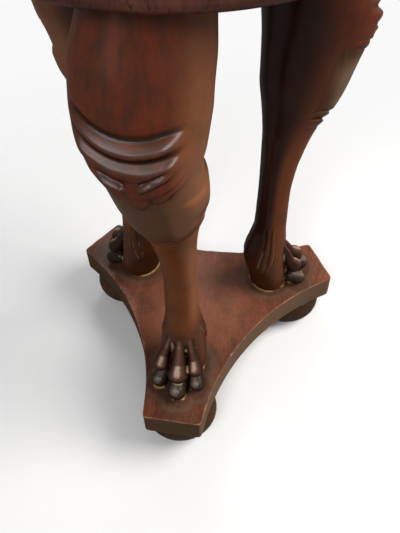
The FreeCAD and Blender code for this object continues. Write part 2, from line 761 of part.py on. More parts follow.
def make_lid():
    """The lid's top: a round nose, a flat step and a low dome, with a lining on its underside."""
    nose = "wall_radius + lid_overhang - lid_edge_height/2"
    dome = nose + " - lid_step"
    top = turned("lid", [
        ("zero", "zero"),
        (nose, "zero", ("round", "lid_edge_height/2")),
        ("wall_radius + lid_overhang", "lid_edge_height/2", ("round", "lid_edge_height/2")),
        (nose, "lid_edge_height"),
        (dome, "lid_edge_height", ("round", cap_curve(dome, "lid_dome_rise"))),
        ("zero", "lid_edge_height + lid_dome_rise"),
    ])
    piece(place(top, z=LID_UNDER), "lid_top")
    lining = rod(LID_BORE + " - ring_fit", "lid_lining_thickness")
    piece(place(lining, z=LID_UNDER + " - lid_lining_thickness"), "lid_lining")


def make_board():
    """The board with two round and two square holes, and the ledge that it lies on."""
    ledge = ring("ledge", LEDGE_BORE, LEDGE_RADIUS, "ledge_height")
    piece(place(ledge, z=BOARD_UNDER + " - ledge_height"), "board_ledge")
    board = place(rod(LINING_BORE + " - board_clearance", "board_thickness"), z=BOARD_UNDER)
    low, deep = BOARD_UNDER + " - overrun", "board_thickness + overrun + overrun"
    holes = []
    for x in (BOWL_STAND, opposite(BOWL_STAND)):
        holes.append(place(rod("bowl_radius + bowl_clearance", deep), x=x, z=low))
    slack = " + canister_clearance + canister_clearance"
    for y in (CANISTER_STAND, opposite(CANISTER_STAND)):
        holes.append(centred_block("zero", y, low, CANISTER_WIDTH + slack, CANISTER_DEPTH + slack, deep))
    piece(cut(board, holes), "divider_board")


def make_bowls():
    """Two glass mixing bowls that hang in the board by their rims."""
    inside = "bowl_radius - bowl_wall"
    base = opposite(BOWL_DEPTH)
    for side, x in (("left", opposite(BOWL_STAND)), ("right", BOWL_STAND)):
        bowl = turned("bowl", [
            ("zero", base),
            ("bowl_base_radius", base, ("round", BOWL_CURVE_SHARE)),
            ("bowl_radius", "- bowl_shoulder_drop"),
            ("bowl_radius", "zero"),
            ("bowl_radius + bowl_rim_width", "zero"),
            ("bowl_radius + bowl_rim_width", "bowl_rim_height"),
            (inside, "bowl_rim_height"),
            (inside, "- bowl_shoulder_drop", ("hollow", BOWL_CURVE_SHARE)),
            ("bowl_base_radius - bowl_wall", "bowl_wall" + base),
            ("zero", "bowl_wall" + base),
        ])
        piece(place(bowl, x=x, z=BOARD_TOP), f"mixing_bowl_{side}")


def make_canisters():
    """Two canisters, each with a lift-off cover and a turned knob."""
    wall = " - canister_wall - canister_wall"
    plug = wall + " - cover_plug_clearance - cover_plug_clearance"
    over = " + cover_overhang + cover_overhang"
    for side, y in (("front", opposite(CANISTER_STAND)), ("back", CANISTER_STAND)):
        outside = centred_block("zero", y, FLOOR_TOP, CANISTER_WIDTH, CANISTER_DEPTH, CANISTER_HEIGHT)
        inside = centred_block("zero", y, FLOOR_TOP + " + canister_wall", CANISTER_WIDTH + wall,
                               CANISTER_DEPTH + wall, CANISTER_HEIGHT)
        piece(cut(outside, [inside]), f"canister_{side}")
        plate = centred_block("zero", y, COVER_UNDER, CANISTER_WIDTH + over, CANISTER_DEPTH + over,
                              "cover_thickness")
        stopper = centred_block("zero", y, COVER_UNDER + " - cover_plug_depth", CANISTER_WIDTH + plug,
                                CANISTER_DEPTH + plug, "cover_plug_depth")
        hip = doc.addObject("Part::Wedge", "hip")
        for low, high, text in (("Xmin", "Xmax", CANISTER_WIDTH), ("Zmin", "Zmax", CANISTER_DEPTH)):
            half = scaled(text + over)
            inner = half + " - cover_slope_width"
            hip.setExpression(low, formula(opposite(half)))
            hip.setExpression(high, formula(half))
            hip.setExpression(low[0] + "2min", formula(opposite(inner)))
            hip.setExpression(high[0] + "2max", formula(inner))
        hip.setExpression("Ymin", formula("zero"))
        hip.setExpression("Ymax", formula("cover_rise"))
        hip.Placement = Placement(Vector(), Rotation(Vector(1, 0, 0), 90))
        place(hip, y=y, z=COVER_UNDER + " + cover_thickness")
        piece(joined([stopper, plate, hip]), f"canister_cover_{side}")
        knob = turned("knob", [
            ("zero", "zero"),
            ("knob_neck_radius", "zero"),
            ("knob_neck_radius", "knob_neck_height"),
            (KNOB_RADIUS, "knob_neck_height", ("round", KNOB_CURVE_SHARE)),
            (KNOB_RADIUS, "knob_height - knob_neck_radius", ("round", KNOB_CURVE_SHARE)),
            (scaled(KNOB_RADIUS), "knob_height"),
            ("zero", "knob_height"),
        ])
        piece(place(knob, y=y, z=COVER_TOP), f"cover_knob_{side}")


def make_hinges(wall_cuts, rim_cuts):
    """A pair of butt hinges let in at the back, with their pins and screws."""
    end_length = "hinge_length/2 - hinge_middle_length/2 - hinge_end_gap"
    back = HINGE_Y + opposite(HINGE_REACH)
    thick = "hinge_leaf_thickness + hinge_leaf_gap"
    chest_leaves, lid_leaves, pins, chest_places, lid_places = [], [], [], [], []
    for start in ("hinge_near_end", "- hinge_near_end - hinge_length"):
        middle = f"{start} + {end_length}"
        far = f"{start} + hinge_length {opposite(end_length)}"

        def barrel(radius, length, x):
            return place(rod(radius, length, "+x"), x, HINGE_Y, WALL_TOP)

        def leaf(z):
            return block(start, back, z, "hinge_length", HINGE_REACH, "hinge_leaf_thickness")

        bore = "hinge_pin_radius + hinge_pin_clearance"
        room = "hinge_barrel_radius + hinge_barrel_clearance"
        whole = f"{start} - overrun"
        whole_length = "hinge_length + overrun + overrun"
        gap_length = "hinge_middle_length + hinge_end_gap + hinge_end_gap"
        ends = [barrel("hinge_barrel_radius", end_length, x) for x in (start, far)]
        chest_leaf = joined([leaf(f"{WALL_TOP} {opposite(thick)}")] + ends)
        chest_tools = [barrel(bore, whole_length, whole), barrel(room, gap_length, middle)]
        chest_leaves.append((chest_leaf, chest_tools))
        knuckle = barrel("hinge_barrel_radius", "hinge_middle_length", f"{middle} + hinge_end_gap")
        lid_leaf = joined([leaf(f"{WALL_TOP} + hinge_leaf_gap"), knuckle])
        lid_tools = [barrel(bore, whole_length, whole)]
        for x in (f"{start} - hinge_end_gap", f"{far} - hinge_end_gap"):
            lid_tools.append(barrel(room, f"{end_length} + hinge_end_gap + hinge_end_gap", x))
        lid_leaves.append((lid_leaf, lid_tools))
        pins.append(barrel("hinge_pin_radius", "hinge_length", start))
        for x in (f"{start} + hinge_screw_inset", f"{start} + hinge_length - hinge_screw_inset"):
            chest_places.append(at(x, WALL_MIDDLE, WALL_TOP + " - hinge_leaf_gap"))
            lid_places.append(at(x, WALL_MIDDLE, WALL_TOP + " + hinge_leaf_gap"))
        recess = ("hinge_length + recess_clearance + recess_clearance", HINGE_REACH + " + overrun")
        x, y = f"{start} - recess_clearance", back + " - recess_clearance"
        wall_cuts.append(block(x, y, f"{WALL_TOP} {opposite(thick)}", *recess, thick + " + overrun"))
        rim_cuts.append(block(x, y, WALL_TOP + " - overrun", *recess, thick + " + overrun"))
    chest_screws, chest_holes = screws_and_holes("brass_screw", "brass_screw_length", False, chest_places)
    lid_screws, lid_holes = screws_and_holes("brass_screw", "brass_screw_length", True, lid_places)
    for label, leaves, holes in (
        ("hinge_leaves_chest", chest_leaves, chest_holes),
        ("hinge_leaves_lid", lid_leaves, lid_holes),
    ):
        piece(group([cut(leaf_body, tools + holes) for leaf_body, tools in leaves]), label)
    piece(group(pins), "hinge_pins")
    piece(chest_screws, "hinge_screws_chest")
    piece(lid_screws, "hinge_screws_lid")
    wall_cuts.extend(chest_holes)
    rim_cuts.extend(lid_holes)


def keyhole(grow, start, length):
    """A keyhole tool from a distance in front of the upright axis outwards."""
    tube = place(rod(f"key_radius + {grow}", length, "-y"), y=opposite(start), z=KEY_Z)
    slot = block(f"- key_bit_thickness/2 - {grow}", opposite(f"{start} + {length}"),
                 f"{KEY_Z} - key_bit_reach - {grow}", f"key_bit_thickness + {grow} + {grow}", length,
                 f"key_bit_reach + {grow}")
    return [tube, slot]


def make_lock(wall_cuts, rim_cuts):
    """The lock in the front of the wall, its bolt and key, and the plate with a loop on the lid."""
    front = opposite(LOCK_STAND)
    room = LOCK_DEPTH + " - lock_sheet - lock_sheet"
    inside_length = "lock_length - lock_sheet - lock_sheet"
    slack = " + lock_clearance + lock_clearance"
    plate_under = WALL_TOP + " - lock_plate_thickness"
    plate_depth = LOCK_DEPTH + " + lock_plate_lip + lock_plate_lip"
    shell = centred_block("zero", front, LOCK_UNDER, "lock_length", LOCK_DEPTH, LOCK_HEIGHT)
    plate = centred_block("zero", front, plate_under, "lock_plate_length", plate_depth,
                          "lock_plate_thickness")
    hollow = centred_block("zero", front, LOCK_UNDER + " + lock_sheet", inside_length, room,
                           LOCK_HEIGHT + " - lock_sheet - lock_plate_thickness")
    slot = block("loop_start - loop_clearance", opposite(LOCK_STAND + scaled(room)),
                 plate_under + " - overrun", "loop_thickness + loop_clearance + loop_clearance", room,
                 "lock_plate_thickness + overrun + overrun")
    front_sheet = keyhole("key_clearance", LOCK_STAND, scaled(LOCK_DEPTH) + " + overrun")
    lock_screw_x = "lock_plate_length/2 - lock_screw_inset"
    lock_screws, lock_holes = screws_and_holes(
        "brass_screw", "brass_screw_length", False,
        [at(x, front, WALL_TOP) for x in (lock_screw_x, opposite(lock_screw_x))])
    emptied = cut(joined([shell, plate]), [hollow, slot] + front_sheet + lock_holes)
    shelf = block(opposite(scaled(inside_length)), opposite(LOCK_STAND + scaled(room)),
                  BOLT_UNDER + " - lock_shelf_height - screw_clearance",
                  scaled(inside_length) + " - key_bit_reach - lock_shelf_gap", room, "lock_shelf_height")
    piece(joined([emptied, shelf]), "lock_case")
    piece(lock_screws, "lock_screws")
    mortise = centred_block("zero", front, LOCK_UNDER + " - lock_clearance", "lock_length" + slack,
                            LOCK_DEPTH + slack, LOCK_HEIGHT + " + overrun")
    plate_seat = centred_block("zero", front, plate_under, "lock_plate_length" + slack,
                               plate_depth + slack, "lock_plate_thickness + overrun")
    wall_cuts.extend([mortise, plate_seat] + lock_holes)

    bolt = centred_block("bolt_end - bolt_length/2", front, BOLT_UNDER, "bolt_length", BOLT_THICKNESS,
                         "bolt_height")
    piece(bolt, "lock_bolt")

    strike = centred_block("zero", front, WALL_TOP, "strike_length", LOCK_DEPTH, "lock_plate_thickness")
    loop_under = BOLT_UNDER + " - bolt_clearance - loop_foot"
    loop_width = room + " - loop_clearance - loop_clearance"
    loop = block("loop_start", opposite(LOCK_STAND + scaled(loop_width)), loop_under,
                 "loop_thickness", loop_width, "bolt_drop + bolt_height + bolt_clearance + loop_foot")
    window = centred_block("loop_start + loop_thickness/2", front, BOLT_UNDER + " - bolt_clearance",
                           "loop_thickness + overrun + overrun",
                           BOLT_THICKNESS + " + bolt_clearance + bolt_clearance",
                           "bolt_height + bolt_clearance + bolt_clearance")
    strike_screw_x = "strike_length/2 - strike_screw_inset"
    strike_screws, strike_holes = screws_and_holes(
        "brass_screw", "brass_screw_length", True,
        [at(x, front, WALL_TOP) for x in (strike_screw_x, opposite(strike_screw_x))])
    piece(cut(joined([strike, loop]), [window] + strike_holes), "link_plate")
    piece(strike_screws, "link_plate_screws")
    rim_cuts.append(centred_block("zero", front, WALL_TOP + " - overrun", "strike_length" + slack,
                                  LOCK_DEPTH + slack, "lock_plate_thickness + overrun"))
    rim_cuts.extend(strike_holes)

    disc_start = "wall_radius - escutcheon_depth"
    disc_length = "escutcheon_depth + escutcheon_stand"
    disc_radius = "key_bit_reach + key_clearance + escutcheon_rim"
    disc = place(rod(disc_radius, disc_length, "-y"), y=opposite(disc_start), z=KEY_Z)
    through = keyhole("key_clearance", LOCK_STAND, "wall_radius + overrun" + opposite(LOCK_STAND))
    piece(cut(disc, through), "escutcheon")
    seat = place(rod(disc_radius + " + lock_clearance", disc_length + " + overrun", "-y"),
                 y=opposite(disc_start), z=KEY_Z)
    wall_cuts.extend([seat] + through)

    inner_end = LOCK_STAND + opposite(scaled(LOCK_DEPTH)) + " + lock_sheet + key_end_gap"
    outer_end = "wall_radius + escutcheon_stand + key_shoulder + key_bow_wire"
    shank = place(rod("key_radius", f"{outer_end} {opposite(inner_end)}", "-y"), y=opposite(inner_end),
                  z=KEY_Z)
    bit = centred_block("zero", front, KEY_Z + " - key_bit_reach", "key_bit_thickness", "key_bit_length",
                        "key_bit_reach")
    bow = doc.addObject("Part::Torus", "bow")
    bow.setExpression("Radius1", formula("key_bow_radius"))
    bow.setExpression("Radius2", formula("key_bow_wire"))
    bow.Placement = Placement(Vector(), Rotation(Vector(0, 1, 0), 90))
    place(bow, y=opposite(f"{outer_end} + key_bow_radius"), z=KEY_Z)
    piece(joined([shank, bit, bow]), "key")


low_screws, low_holes = screws_and_holes(
    "wood_screw", "low_screw_length", True,
    [on_spoke(angle, LOW_SCREW_STAND, PLINTH_UNDER) for angle in CORNER_ANGLES.values()])
high_screws, high_holes = screws_and_holes(
    "wood_screw", "high_screw_length", False,
    [on_spoke(angle, HIGH_SCREW_STAND, FLOOR_TOP) for angle in CORNER_ANGLES.values()])
wall_tools = []
rim_tools = []
make_plinth(low_holes)
make_feet()
make_legs()
make_dowels()
piece(low_screws, "plinth_screws")
piece(high_screws, "chest_screws")
make_chest_floor(high_holes)
make_mouldings()
make_hinges(wall_tools, rim_tools)
make_lock(wall_tools, rim_tools)
make_drum(wall_tools, rim_tools)
make_lid()
make_board()
make_bowls()
make_canisters()
doc.recompute()

for thing in doc.Objects:
    if "Invalid" in thing.State or "Error" in thing.State:
        raise RuntimeError(f"{thing.Label} ({thing.Name}) did not build: {thing.State}")
for thing in pieces:
    if thing.Shape.isNull() or not thing.Shape.isValid() or not thing.Shape.Solids:
        raise RuntimeError(f"{thing.Label} has no sound shape")

os.makedirs("parts", exist_ok=True)
for thing in pieces:
    thing.Shape.exportStep(f"parts/{thing.Label}.step")
    box = thing.Shape.BoundBox
    print(f"{thing.Label:22} {len(thing.Shape.Solids):2} solids {thing.Shape.Volume / 1000:9.2f} cm3 "
          f"x {box.XMin:7.1f} {box.XMax:7.1f} y {box.YMin:7.1f} {box.YMax:7.1f} "
          f"z {box.ZMin:7.1f} {box.ZMax:7.1f}")
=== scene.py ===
"""A teapoy seen from above its front corner: carved animal legs on a three-cornered plinth.

Blender works in metres, in the part's own frame. Carving is worked out in millimetres.
"""
import functools
import json
import math

import bpy
import numpy as np
from mathutils import Matrix, Vector


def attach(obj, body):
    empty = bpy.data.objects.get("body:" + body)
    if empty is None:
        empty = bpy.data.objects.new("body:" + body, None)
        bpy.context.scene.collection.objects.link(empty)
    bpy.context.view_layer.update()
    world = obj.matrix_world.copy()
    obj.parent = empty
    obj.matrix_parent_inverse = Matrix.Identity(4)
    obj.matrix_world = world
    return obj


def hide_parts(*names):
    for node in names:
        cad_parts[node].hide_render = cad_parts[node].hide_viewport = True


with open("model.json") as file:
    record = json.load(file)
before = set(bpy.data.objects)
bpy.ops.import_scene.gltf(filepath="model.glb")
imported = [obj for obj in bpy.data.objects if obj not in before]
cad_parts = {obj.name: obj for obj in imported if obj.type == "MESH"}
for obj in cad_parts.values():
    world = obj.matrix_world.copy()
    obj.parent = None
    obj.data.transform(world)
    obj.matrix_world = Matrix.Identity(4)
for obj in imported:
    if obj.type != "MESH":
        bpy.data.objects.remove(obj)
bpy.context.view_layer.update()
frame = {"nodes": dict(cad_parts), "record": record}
nodes = frame["nodes"]
rng = np.random.default_rng(7)

MM = 0.001
PLINTH_UNDER, PLINTH_TOP = 50.0, 87.0
PLINTH_REACH, PLINTH_CORNER, PLINTH_WAIST = 205.0, 39.0, 98.0
LEG_HEIGHT, LEG_BACK, LEG_DEPTH, HALF_WIDTH = 525.0, 73.6, 127.4, 58.0
CORNERS = {"front": -90.0, "right": 30.0, "left": 150.0}
# What a plinth point is told when no edge or paw is near, and how many rings its top has.
FAR, NO_PAW, TOP_RINGS = 9.0, 60.0, 130

# Level slices of a leg as shares: height, back, front, half width, place of the greatest width, and
# how far the front leg leans to the left there.
SLICES = np.array([
    (0.000, 0.125, 0.514, 0.47, 0.48, 0), (0.016, 0.101, 0.536, 0.52, 0.48, 0),
    (0.042, 0.085, 0.546, 0.54, 0.48, 0), (0.084, 0.032, 0.533, 0.52, 0.48, -0.03),
    (0.122, 0.004, 0.512, 0.48, 0.50, -0.05), (0.149, 0.015, 0.492, 0.42, 0.50, -0.08),
    (0.177, 0.052, 0.480, 0.375, 0.50, -0.11), (0.215, 0.106, 0.464, 0.35, 0.50, -0.15),
    (0.257, 0.123, 0.452, 0.34, 0.50, -0.19), (0.300, 0.130, 0.450, 0.336, 0.50, -0.23),
    (0.341, 0.135, 0.454, 0.328, 0.50, -0.25), (0.385, 0.136, 0.475, 0.331, 0.50, -0.26),
    (0.419, 0.137, 0.498, 0.345, 0.50, -0.26), (0.448, 0.137, 0.528, 0.368, 0.51, -0.24),
    (0.476, 0.135, 0.563, 0.40, 0.53, -0.20), (0.507, 0.130, 0.612, 0.45, 0.55, -0.15),
    (0.545, 0.120, 0.680, 0.53, 0.57, -0.07), (0.590, 0.102, 0.770, 0.645, 0.58, 0.04),
    (0.648, 0.073, 0.868, 0.745, 0.60, 0.21), (0.697, 0.071, 0.940, 0.785, 0.61, 0.43),
    (0.743, 0.069, 0.985, 0.845, 0.61, 0.68), (0.787, 0.060, 0.985, 0.935, 0.60, 0.88),
    (0.832, 0.041, 0.940, 1.0, 0.58, 1.0), (0.886, 0.019, 0.866, 1.0, 0.56, 0.88),
    (0.943, 0.005, 0.770, 0.92, 0.54, 0.52), (1.000, 0.000, 0.690, 0.82, 0.52, 0),
])
# Millimetres that the front leg's knee leans to the left.
FRONT_LEAN = 10.5

# The grid that a leg is carved from: its low and high corners, and its step when whole and when quick.
GRID_LOW, GRID_HIGH = np.array([68.0, -74.0, -3.0]), np.array([208.0, 66.0, 529.0])
FINE_STEP, QUICK_STEP = 1.35, 2.6
# Half the width over which the surface's slope is taken, and how high the paws reach.
PROBE, PAW_TOP = 0.2, 112.0
# Hollows this deep get the darkest dirt and painted shade, and crests this proud are most worn. Toes and claws
# get a painted highlight on the sides that face these ways, and painted shade on the sides away from them.
DEEPEST, PROUDEST = 0.55, 0.8
TOE_GLEAM, CLAW_GLEAM = np.array([0.72, 0.0, 0.69]), np.array([0.62, -0.2, 0.76])

# Toes and claws: chains of balls as (outward, sideways, height, radius).
TOES = [
    ((119, 1, 96, 3.4), (136.5, 1, 65, 6.6), (146, 1, 45, 9.8), (154.5, 1, 36, 13.5)),
    ((120, 10, 90, 2.8), (132.5, 16, 62, 5.6), (137, 19.5, 47, 7.8), (144.5, 21.5, 37.5, 11.0)),
    ((120, -8, 90, 2.8), (132.5, -16, 64, 5.6), (136.5, -20.5, 50, 7.8), (143.5, -23, 40.5, 11.0)),
]
CLAWS = [
    ((153, 1, 17, 11.0), (167, 1, 12.5, 12.0)),
    ((138, 21, 16, 9.0), (151, 24.7, 11.3, 10.6)),
    ((140, -21.5, 16, 9.0), (151.5, -25.5, 11.3, 10.4)),
]
# How a fold of the knee stands out from crest to valley: height above the crest, and relief there.
FOLD = np.array([
    (-13, 0), (-9.5, 0.2), (-6.5, 1.9), (-3, 3.5), (-0.5, 3.9), (1.2, 3.5), (3.6, 1.5), (5.8, -0.9), (7.8, -3.0),
    (9.2, -3.5), (11.5, -2.7), (15, -1.0), (19, 0),
], float)
# Grooves of the fur over the heel, in the side view: points as (outward, height).
FUR = [
    ((84, 94), (89, 111), (92, 127)),
    ((84, 52), (87, 68), (92, 84), (95, 109), (96, 126)),
    ((90, 46), (96, 64), (101, 83), (102, 106), (103, 124)),
    ((97, 50), (104, 63), (109, 82), (109, 104), (109, 117)),
]


def smooth_curve(xs, ys, at):
    """A smooth curve through points, with no overshoot at steps."""
    h = np.diff(xs)
    slope = np.diff(ys) / h
    tangent = np.zeros_like(ys)
    same = slope[:-1] * slope[1:] > 0
    w1, w2 = 2 * h[1:] + h[:-1], h[1:] + 2 * h[:-1]
    safe = np.where(same, slope[:-1], 1.0), np.where(same, slope[1:], 1.0)
    tangent[1:-1] = np.where(same, (w1 + w2) / (w1 / safe[0] + w2 / safe[1]), 0.0)
    tangent[0], tangent[-1] = slope[0], slope[-1]
    at = np.clip(at, xs[0], xs[-1])
    i = np.clip(np.searchsorted(xs, at, side="right") - 1, 0, len(xs) - 2)
    t = (at - xs[i]) / h[i]
    a, b = ys[i], ys[i + 1]
    c, d = tangent[i] * h[i], tangent[i + 1] * h[i]
    return a + t * (c + t * (3 * (b - a) - 2 * c - d + t * (2 * (a - b) + c + d)))


SLICE_Z = SLICES[:, 0] * LEG_HEIGHT
FINE_Z = np.linspace(0, LEG_HEIGHT, 1051)
FINE = [smooth_curve(SLICE_Z, column, FINE_Z) for column in (
    LEG_BACK + SLICES[:, 1] * LEG_DEPTH, LEG_BACK + SLICES[:, 2] * LEG_DEPTH,
    SLICES[:, 3] * HALF_WIDTH, SLICES[:, 4], SLICES[:, 5])]


def smoothstep(low, high, x):
    t = np.clip((x - low) / (high - low), 0, 1)
    return t * t * (3 - 2 * t)


def bump(x, width):
    return np.exp(-((x / width) ** 2))


def soft_min(a, b, k):
    h = np.clip(k - np.abs(a - b), 0, None) / k
    return np.minimum(a, b) - h * h * k / 4


def ball_chain(x, y, z, balls):
    """Distance to a chain of balls joined by cones."""
    best = None
    for first, second in zip(balls, balls[1:]):
        a, b = np.array(first[:3], float), np.array(second[:3], float)
        way = b - a
        t = np.clip(((x - a[0]) * way[0] + (y - a[1]) * way[1] + (z - a[2]) * way[2]) / (way @ way), 0, 1)
        radius = first[3] + (second[3] - first[3]) * t
        gap = np.sqrt((x - a[0] - t * way[0]) ** 2 + (y - a[1] - t * way[1]) ** 2
                      + (z - a[2] - t * way[2]) ** 2) - radius
        best = gap if best is None else np.minimum(best, gap)
    return best


def gleam_facing_of(points, chains, face):
    """How near each point lies to the closest of some chains of balls, and how far it faces one way from it."""
    near, gleam_facing = np.full(len(points), 1e3), np.zeros(len(points))
    for balls in chains:
        for first, second in zip(balls, balls[1:]):
            a, b = np.array(first[:3], float), np.array(second[:3], float)
            way = b - a
            t = np.clip((points - a) @ way / (way @ way), 0, 1)
            off = points - a - t[:, None] * way
            reach = np.linalg.norm(off, axis=1)
            gap = reach - first[3] - (second[3] - first[3]) * t
            better = gap < near
            near[better] = gap[better]
            gleam_facing[better] = ((off @ face) / np.maximum(reach, 1e-6))[better]
    return near, gleam_facing


def line_gap(x, z, points):
    """Distance in the side view to a line of straight runs."""
    best = np.full(x.shape, 1e3, x.dtype)
    for (ax, az), (bx, bz) in zip(points, points[1:]):
        wx, wz = bx - ax, bz - az
        t = np.clip(((x - ax) * wx + (z - az) * wz) / (wx * wx + wz * wz), 0, 1)
        best = np.minimum(best, np.hypot(x - ax - t * wx, z - az - t * wz))
    return best


def cap_edge(side):
    """Height of the knee cap's scalloped lower edge, with its tongue in the middle."""
    return np.interp(side, [0, 4, 7, 10, 13.5, 17, 22, 27, 30, 36, 40, 46, 52],
                     [359.5, 361.5, 365.5, 370, 372, 370.5, 371.5, 375, 379, 383, 386, 391, 397])


def upper_folds(y):
    """Heights of the knee's two upper folds, at places across the leg."""
    across = y - 3.0
    return 421.5 + 0.0042 * across**2, 405.5 + 0.0056 * across**2


def short_ridge(y):
    """Height of the ridge on each side under the upper folds, and how far aside of it each place is."""
    across = y + 2.0
    side = np.abs(across)
    return 389.5 + 0.14 * across + 0.36 * (side - 6), side


def dot_gap(y, z):
    """Distance to the nearer of the cap's two dots."""
    across = y + 7.0
    return np.hypot(np.abs(across) - 15.5, z - 371.5 - 0.17 * across)


def calf_fold(across):
    """Height of the fold under the calf."""
    return 292.5 + 0.0165 * across**2


def knee_marks(y, z):
    """Where the knee's folds face upwards and get a painted sheen, where dirt and painted shade lie in the
    valleys, creases and dots, and what belongs to the cap.
    """
    side = np.abs(y - 3.0)
    taper = np.where(y > 3.0, 1 - smoothstep(26, 43, side), 1 - smoothstep(46, 58, side))
    painted_sheen, dirt_and_shade = [], []
    for line in upper_folds(y):
        t = z - line
        painted_sheen.append(taper * smoothstep(-1.2, 0.6, t) * (1 - smoothstep(4.0, 6.6, t)))
        dirt_and_shade.append(taper * smoothstep(6.2, 8.0, t) * (1 - smoothstep(10.0, 14.5, t)))
    line, side = short_ridge(y)
    t = z - line
    along = smoothstep(3.5, 7, side) * (1 - smoothstep(22, 34, side))
    painted_sheen.append(along * smoothstep(-2.2, -0.6, t) * (1 - smoothstep(1.8, 3.2, t)))
    dirt_and_shade.append(0.9 * along * (bump(t - 5.0, 1.8) + bump(t + 4.8, 1.8)))
    side = np.abs(y + 4.0)
    dirt_and_shade.append(0.6 * bump(z - 376.3 - 0.010 * side**2, 1.4) * (1 - smoothstep(24, 40, side)))
    t = z - cap_edge(side)
    dirt_and_shade.append(0.8 * bump(t + 1.3, 1.5) * (1 - smoothstep(30, 44, side)))
    cap = smoothstep(-1.2, 1.0, t)
    dirt_and_shade.append(bump(dot_gap(y, z), 2.2))
    t = z - calf_fold(y + 3)
    dirt_and_shade.append(0.75 * bump(t + 8.8, 1.7) + 0.5 * bump(t + 1.4, 1.2))
    return np.maximum.reduce(painted_sheen), np.maximum.reduce(dirt_and_shade), cap


def flank_of(aside):
    """How far a place lies on one of the leg's two flanks."""
    return smoothstep(0.45, 0.75, np.abs(aside))


def knee_relief(x, y, z, ahead, aside, lean):
    """The knee cap: folds, short ridges, scalloped edge, tongue and dots."""
    front = smoothstep(-0.15, 0.3, ahead)
    side = np.abs(y - 3.0)
    taper = np.where(y > 3.0, 1 - smoothstep(22, 46, side), 1 - smoothstep(42, 60, side))
    folds = sum(smooth_curve(FOLD[:, 0], FOLD[:, 1], z - line) for line in upper_folds(y))
    line, side = short_ridge(y)
    t = z - line
    along = smoothstep(3.5, 11, side) * (1 - smoothstep(24, 36, side))
    ridge = 3.6 * bump(t, 2.8) - 2.2 * bump(t - 5.2, 1.7) - 1.6 * bump(t + 5.0, 1.7)
    side = np.abs(y + 4.0)
    t = z - 377.5 - 0.010 * side**2
    lip = 1.3 * smoothstep(-0.8, 0.8, t) * (1 - smoothstep(12, 40, t)) - 1.1 * bump(t + 1.2, 1.2)
    t = z - cap_edge(side)
    step = 1.1 + 1.4 * smoothstep(24, 44, side)
    edge = step * smoothstep(-0.8, 0.8, t) * (1 - smoothstep(18, 44, t)) - 1.3 * bump(t + 1.2, 1.2)
    tongue = 1.2 * bump(side, 7) * bump(z - 367, 5)
    return front * (taper * (folds + lip + edge) + along * ridge + tongue - 3.2 * bump(dot_gap(y, z), 1.6))


def hock_relief(x, y, z, ahead, aside, lean):
    """The notch and the swell on the right flank under the knee."""
    notch = smoothstep(355, 360, z) * (1 - smoothstep(378, 402, z))
    swell = smoothstep(324, 340, z) * (1 - smoothstep(352, 357, z))
    return smoothstep(0.55, 0.85, aside) * (1.2 * swell - 2.4 * notch)


def calf_relief(x, y, z, ahead, aside, lean):
    """The calf's full front and the double fold under it."""
    t = z - calf_fold(y + 3 * (lean > 0))
    calf = smoothstep(-1.5, 1.5, t) * (1 - smoothstep(8, 55, t))
    return smoothstep(-0.35, 0.15, ahead) * (
        2.2 * calf - 1.3 * bump(t + 1.4, 1.3) + 1.4 * bump(t + 4.6, 2.0)
        - 2.2 * bump(t + 8.8, 1.8) + 1.3 * bump(t + 13.2, 2.6) - 0.8 * bump(t + 18.6, 1.7))


def tendon_relief(x, y, z, ahead, aside, lean):
    """The soft furrow along each flank of the shank."""
    line = np.interp(z, [100, 125, 160, 220, 270, 320], [99, 100, 99, 98.5, 100, 103])
    fade = smoothstep(104, 122, z) * (1 - smoothstep(240, 300, z))
    return -0.9 * fade * flank_of(aside) * bump(x - line, 4.0)


def fur_relief(x, y, z, ahead, aside, lean):
    """The raised fur over the heel, with its grooves."""
    low = np.interp(x, [74, 84, 90, 97, 104, 112], [70, 50, 43, 46, 58, 72])
    over = smoothstep(-2.5, 3.5, z - low) * (1 - smoothstep(104, 134, z)) * (1 - smoothstep(106, 114, x))
    grooves = np.zeros_like(x)
    for points in FUR:
        ends = smoothstep(points[0][1] - 3, points[0][1] + 7, z)
        grooves = np.maximum(grooves, ends * bump(line_gap(x, z, points), 1.5))
    return flank_of(aside) * over * (2.3 - 2.6 * grooves)


def ankle_relief(x, y, z, ahead, aside, lean):
    """The furrow between the heel and the outer toes."""
    fade = smoothstep(18, 26, z) * (1 - smoothstep(52, 66, z))
    return -2.0 * fade * flank_of(aside) * bump(x - (133 + 0.1 * (z - 20)), 2.4)


def instep_relief(x, y, z, ahead, aside, lean):
    """The body cut back so that the toes stand free."""
    fade = smoothstep(14, 26, z) * (1 - smoothstep(48, 94, z))
    return -4.0 * fade * smoothstep(0.35, 0.8, ahead)


# What is carved between two heights of the leg. Each function takes places, how far ahead of and aside of the
# leg's middle they lie as shares of its section, and the leg's lean.
RELIEFS = [
    (335, 455, knee_relief), (322, 412, hock_relief), (262, 385, calf_relief), (100, 320, tendon_relief),
    (36, 140, fur_relief), (18, 66, ankle_relief), (14, 100, instep_relief),
]


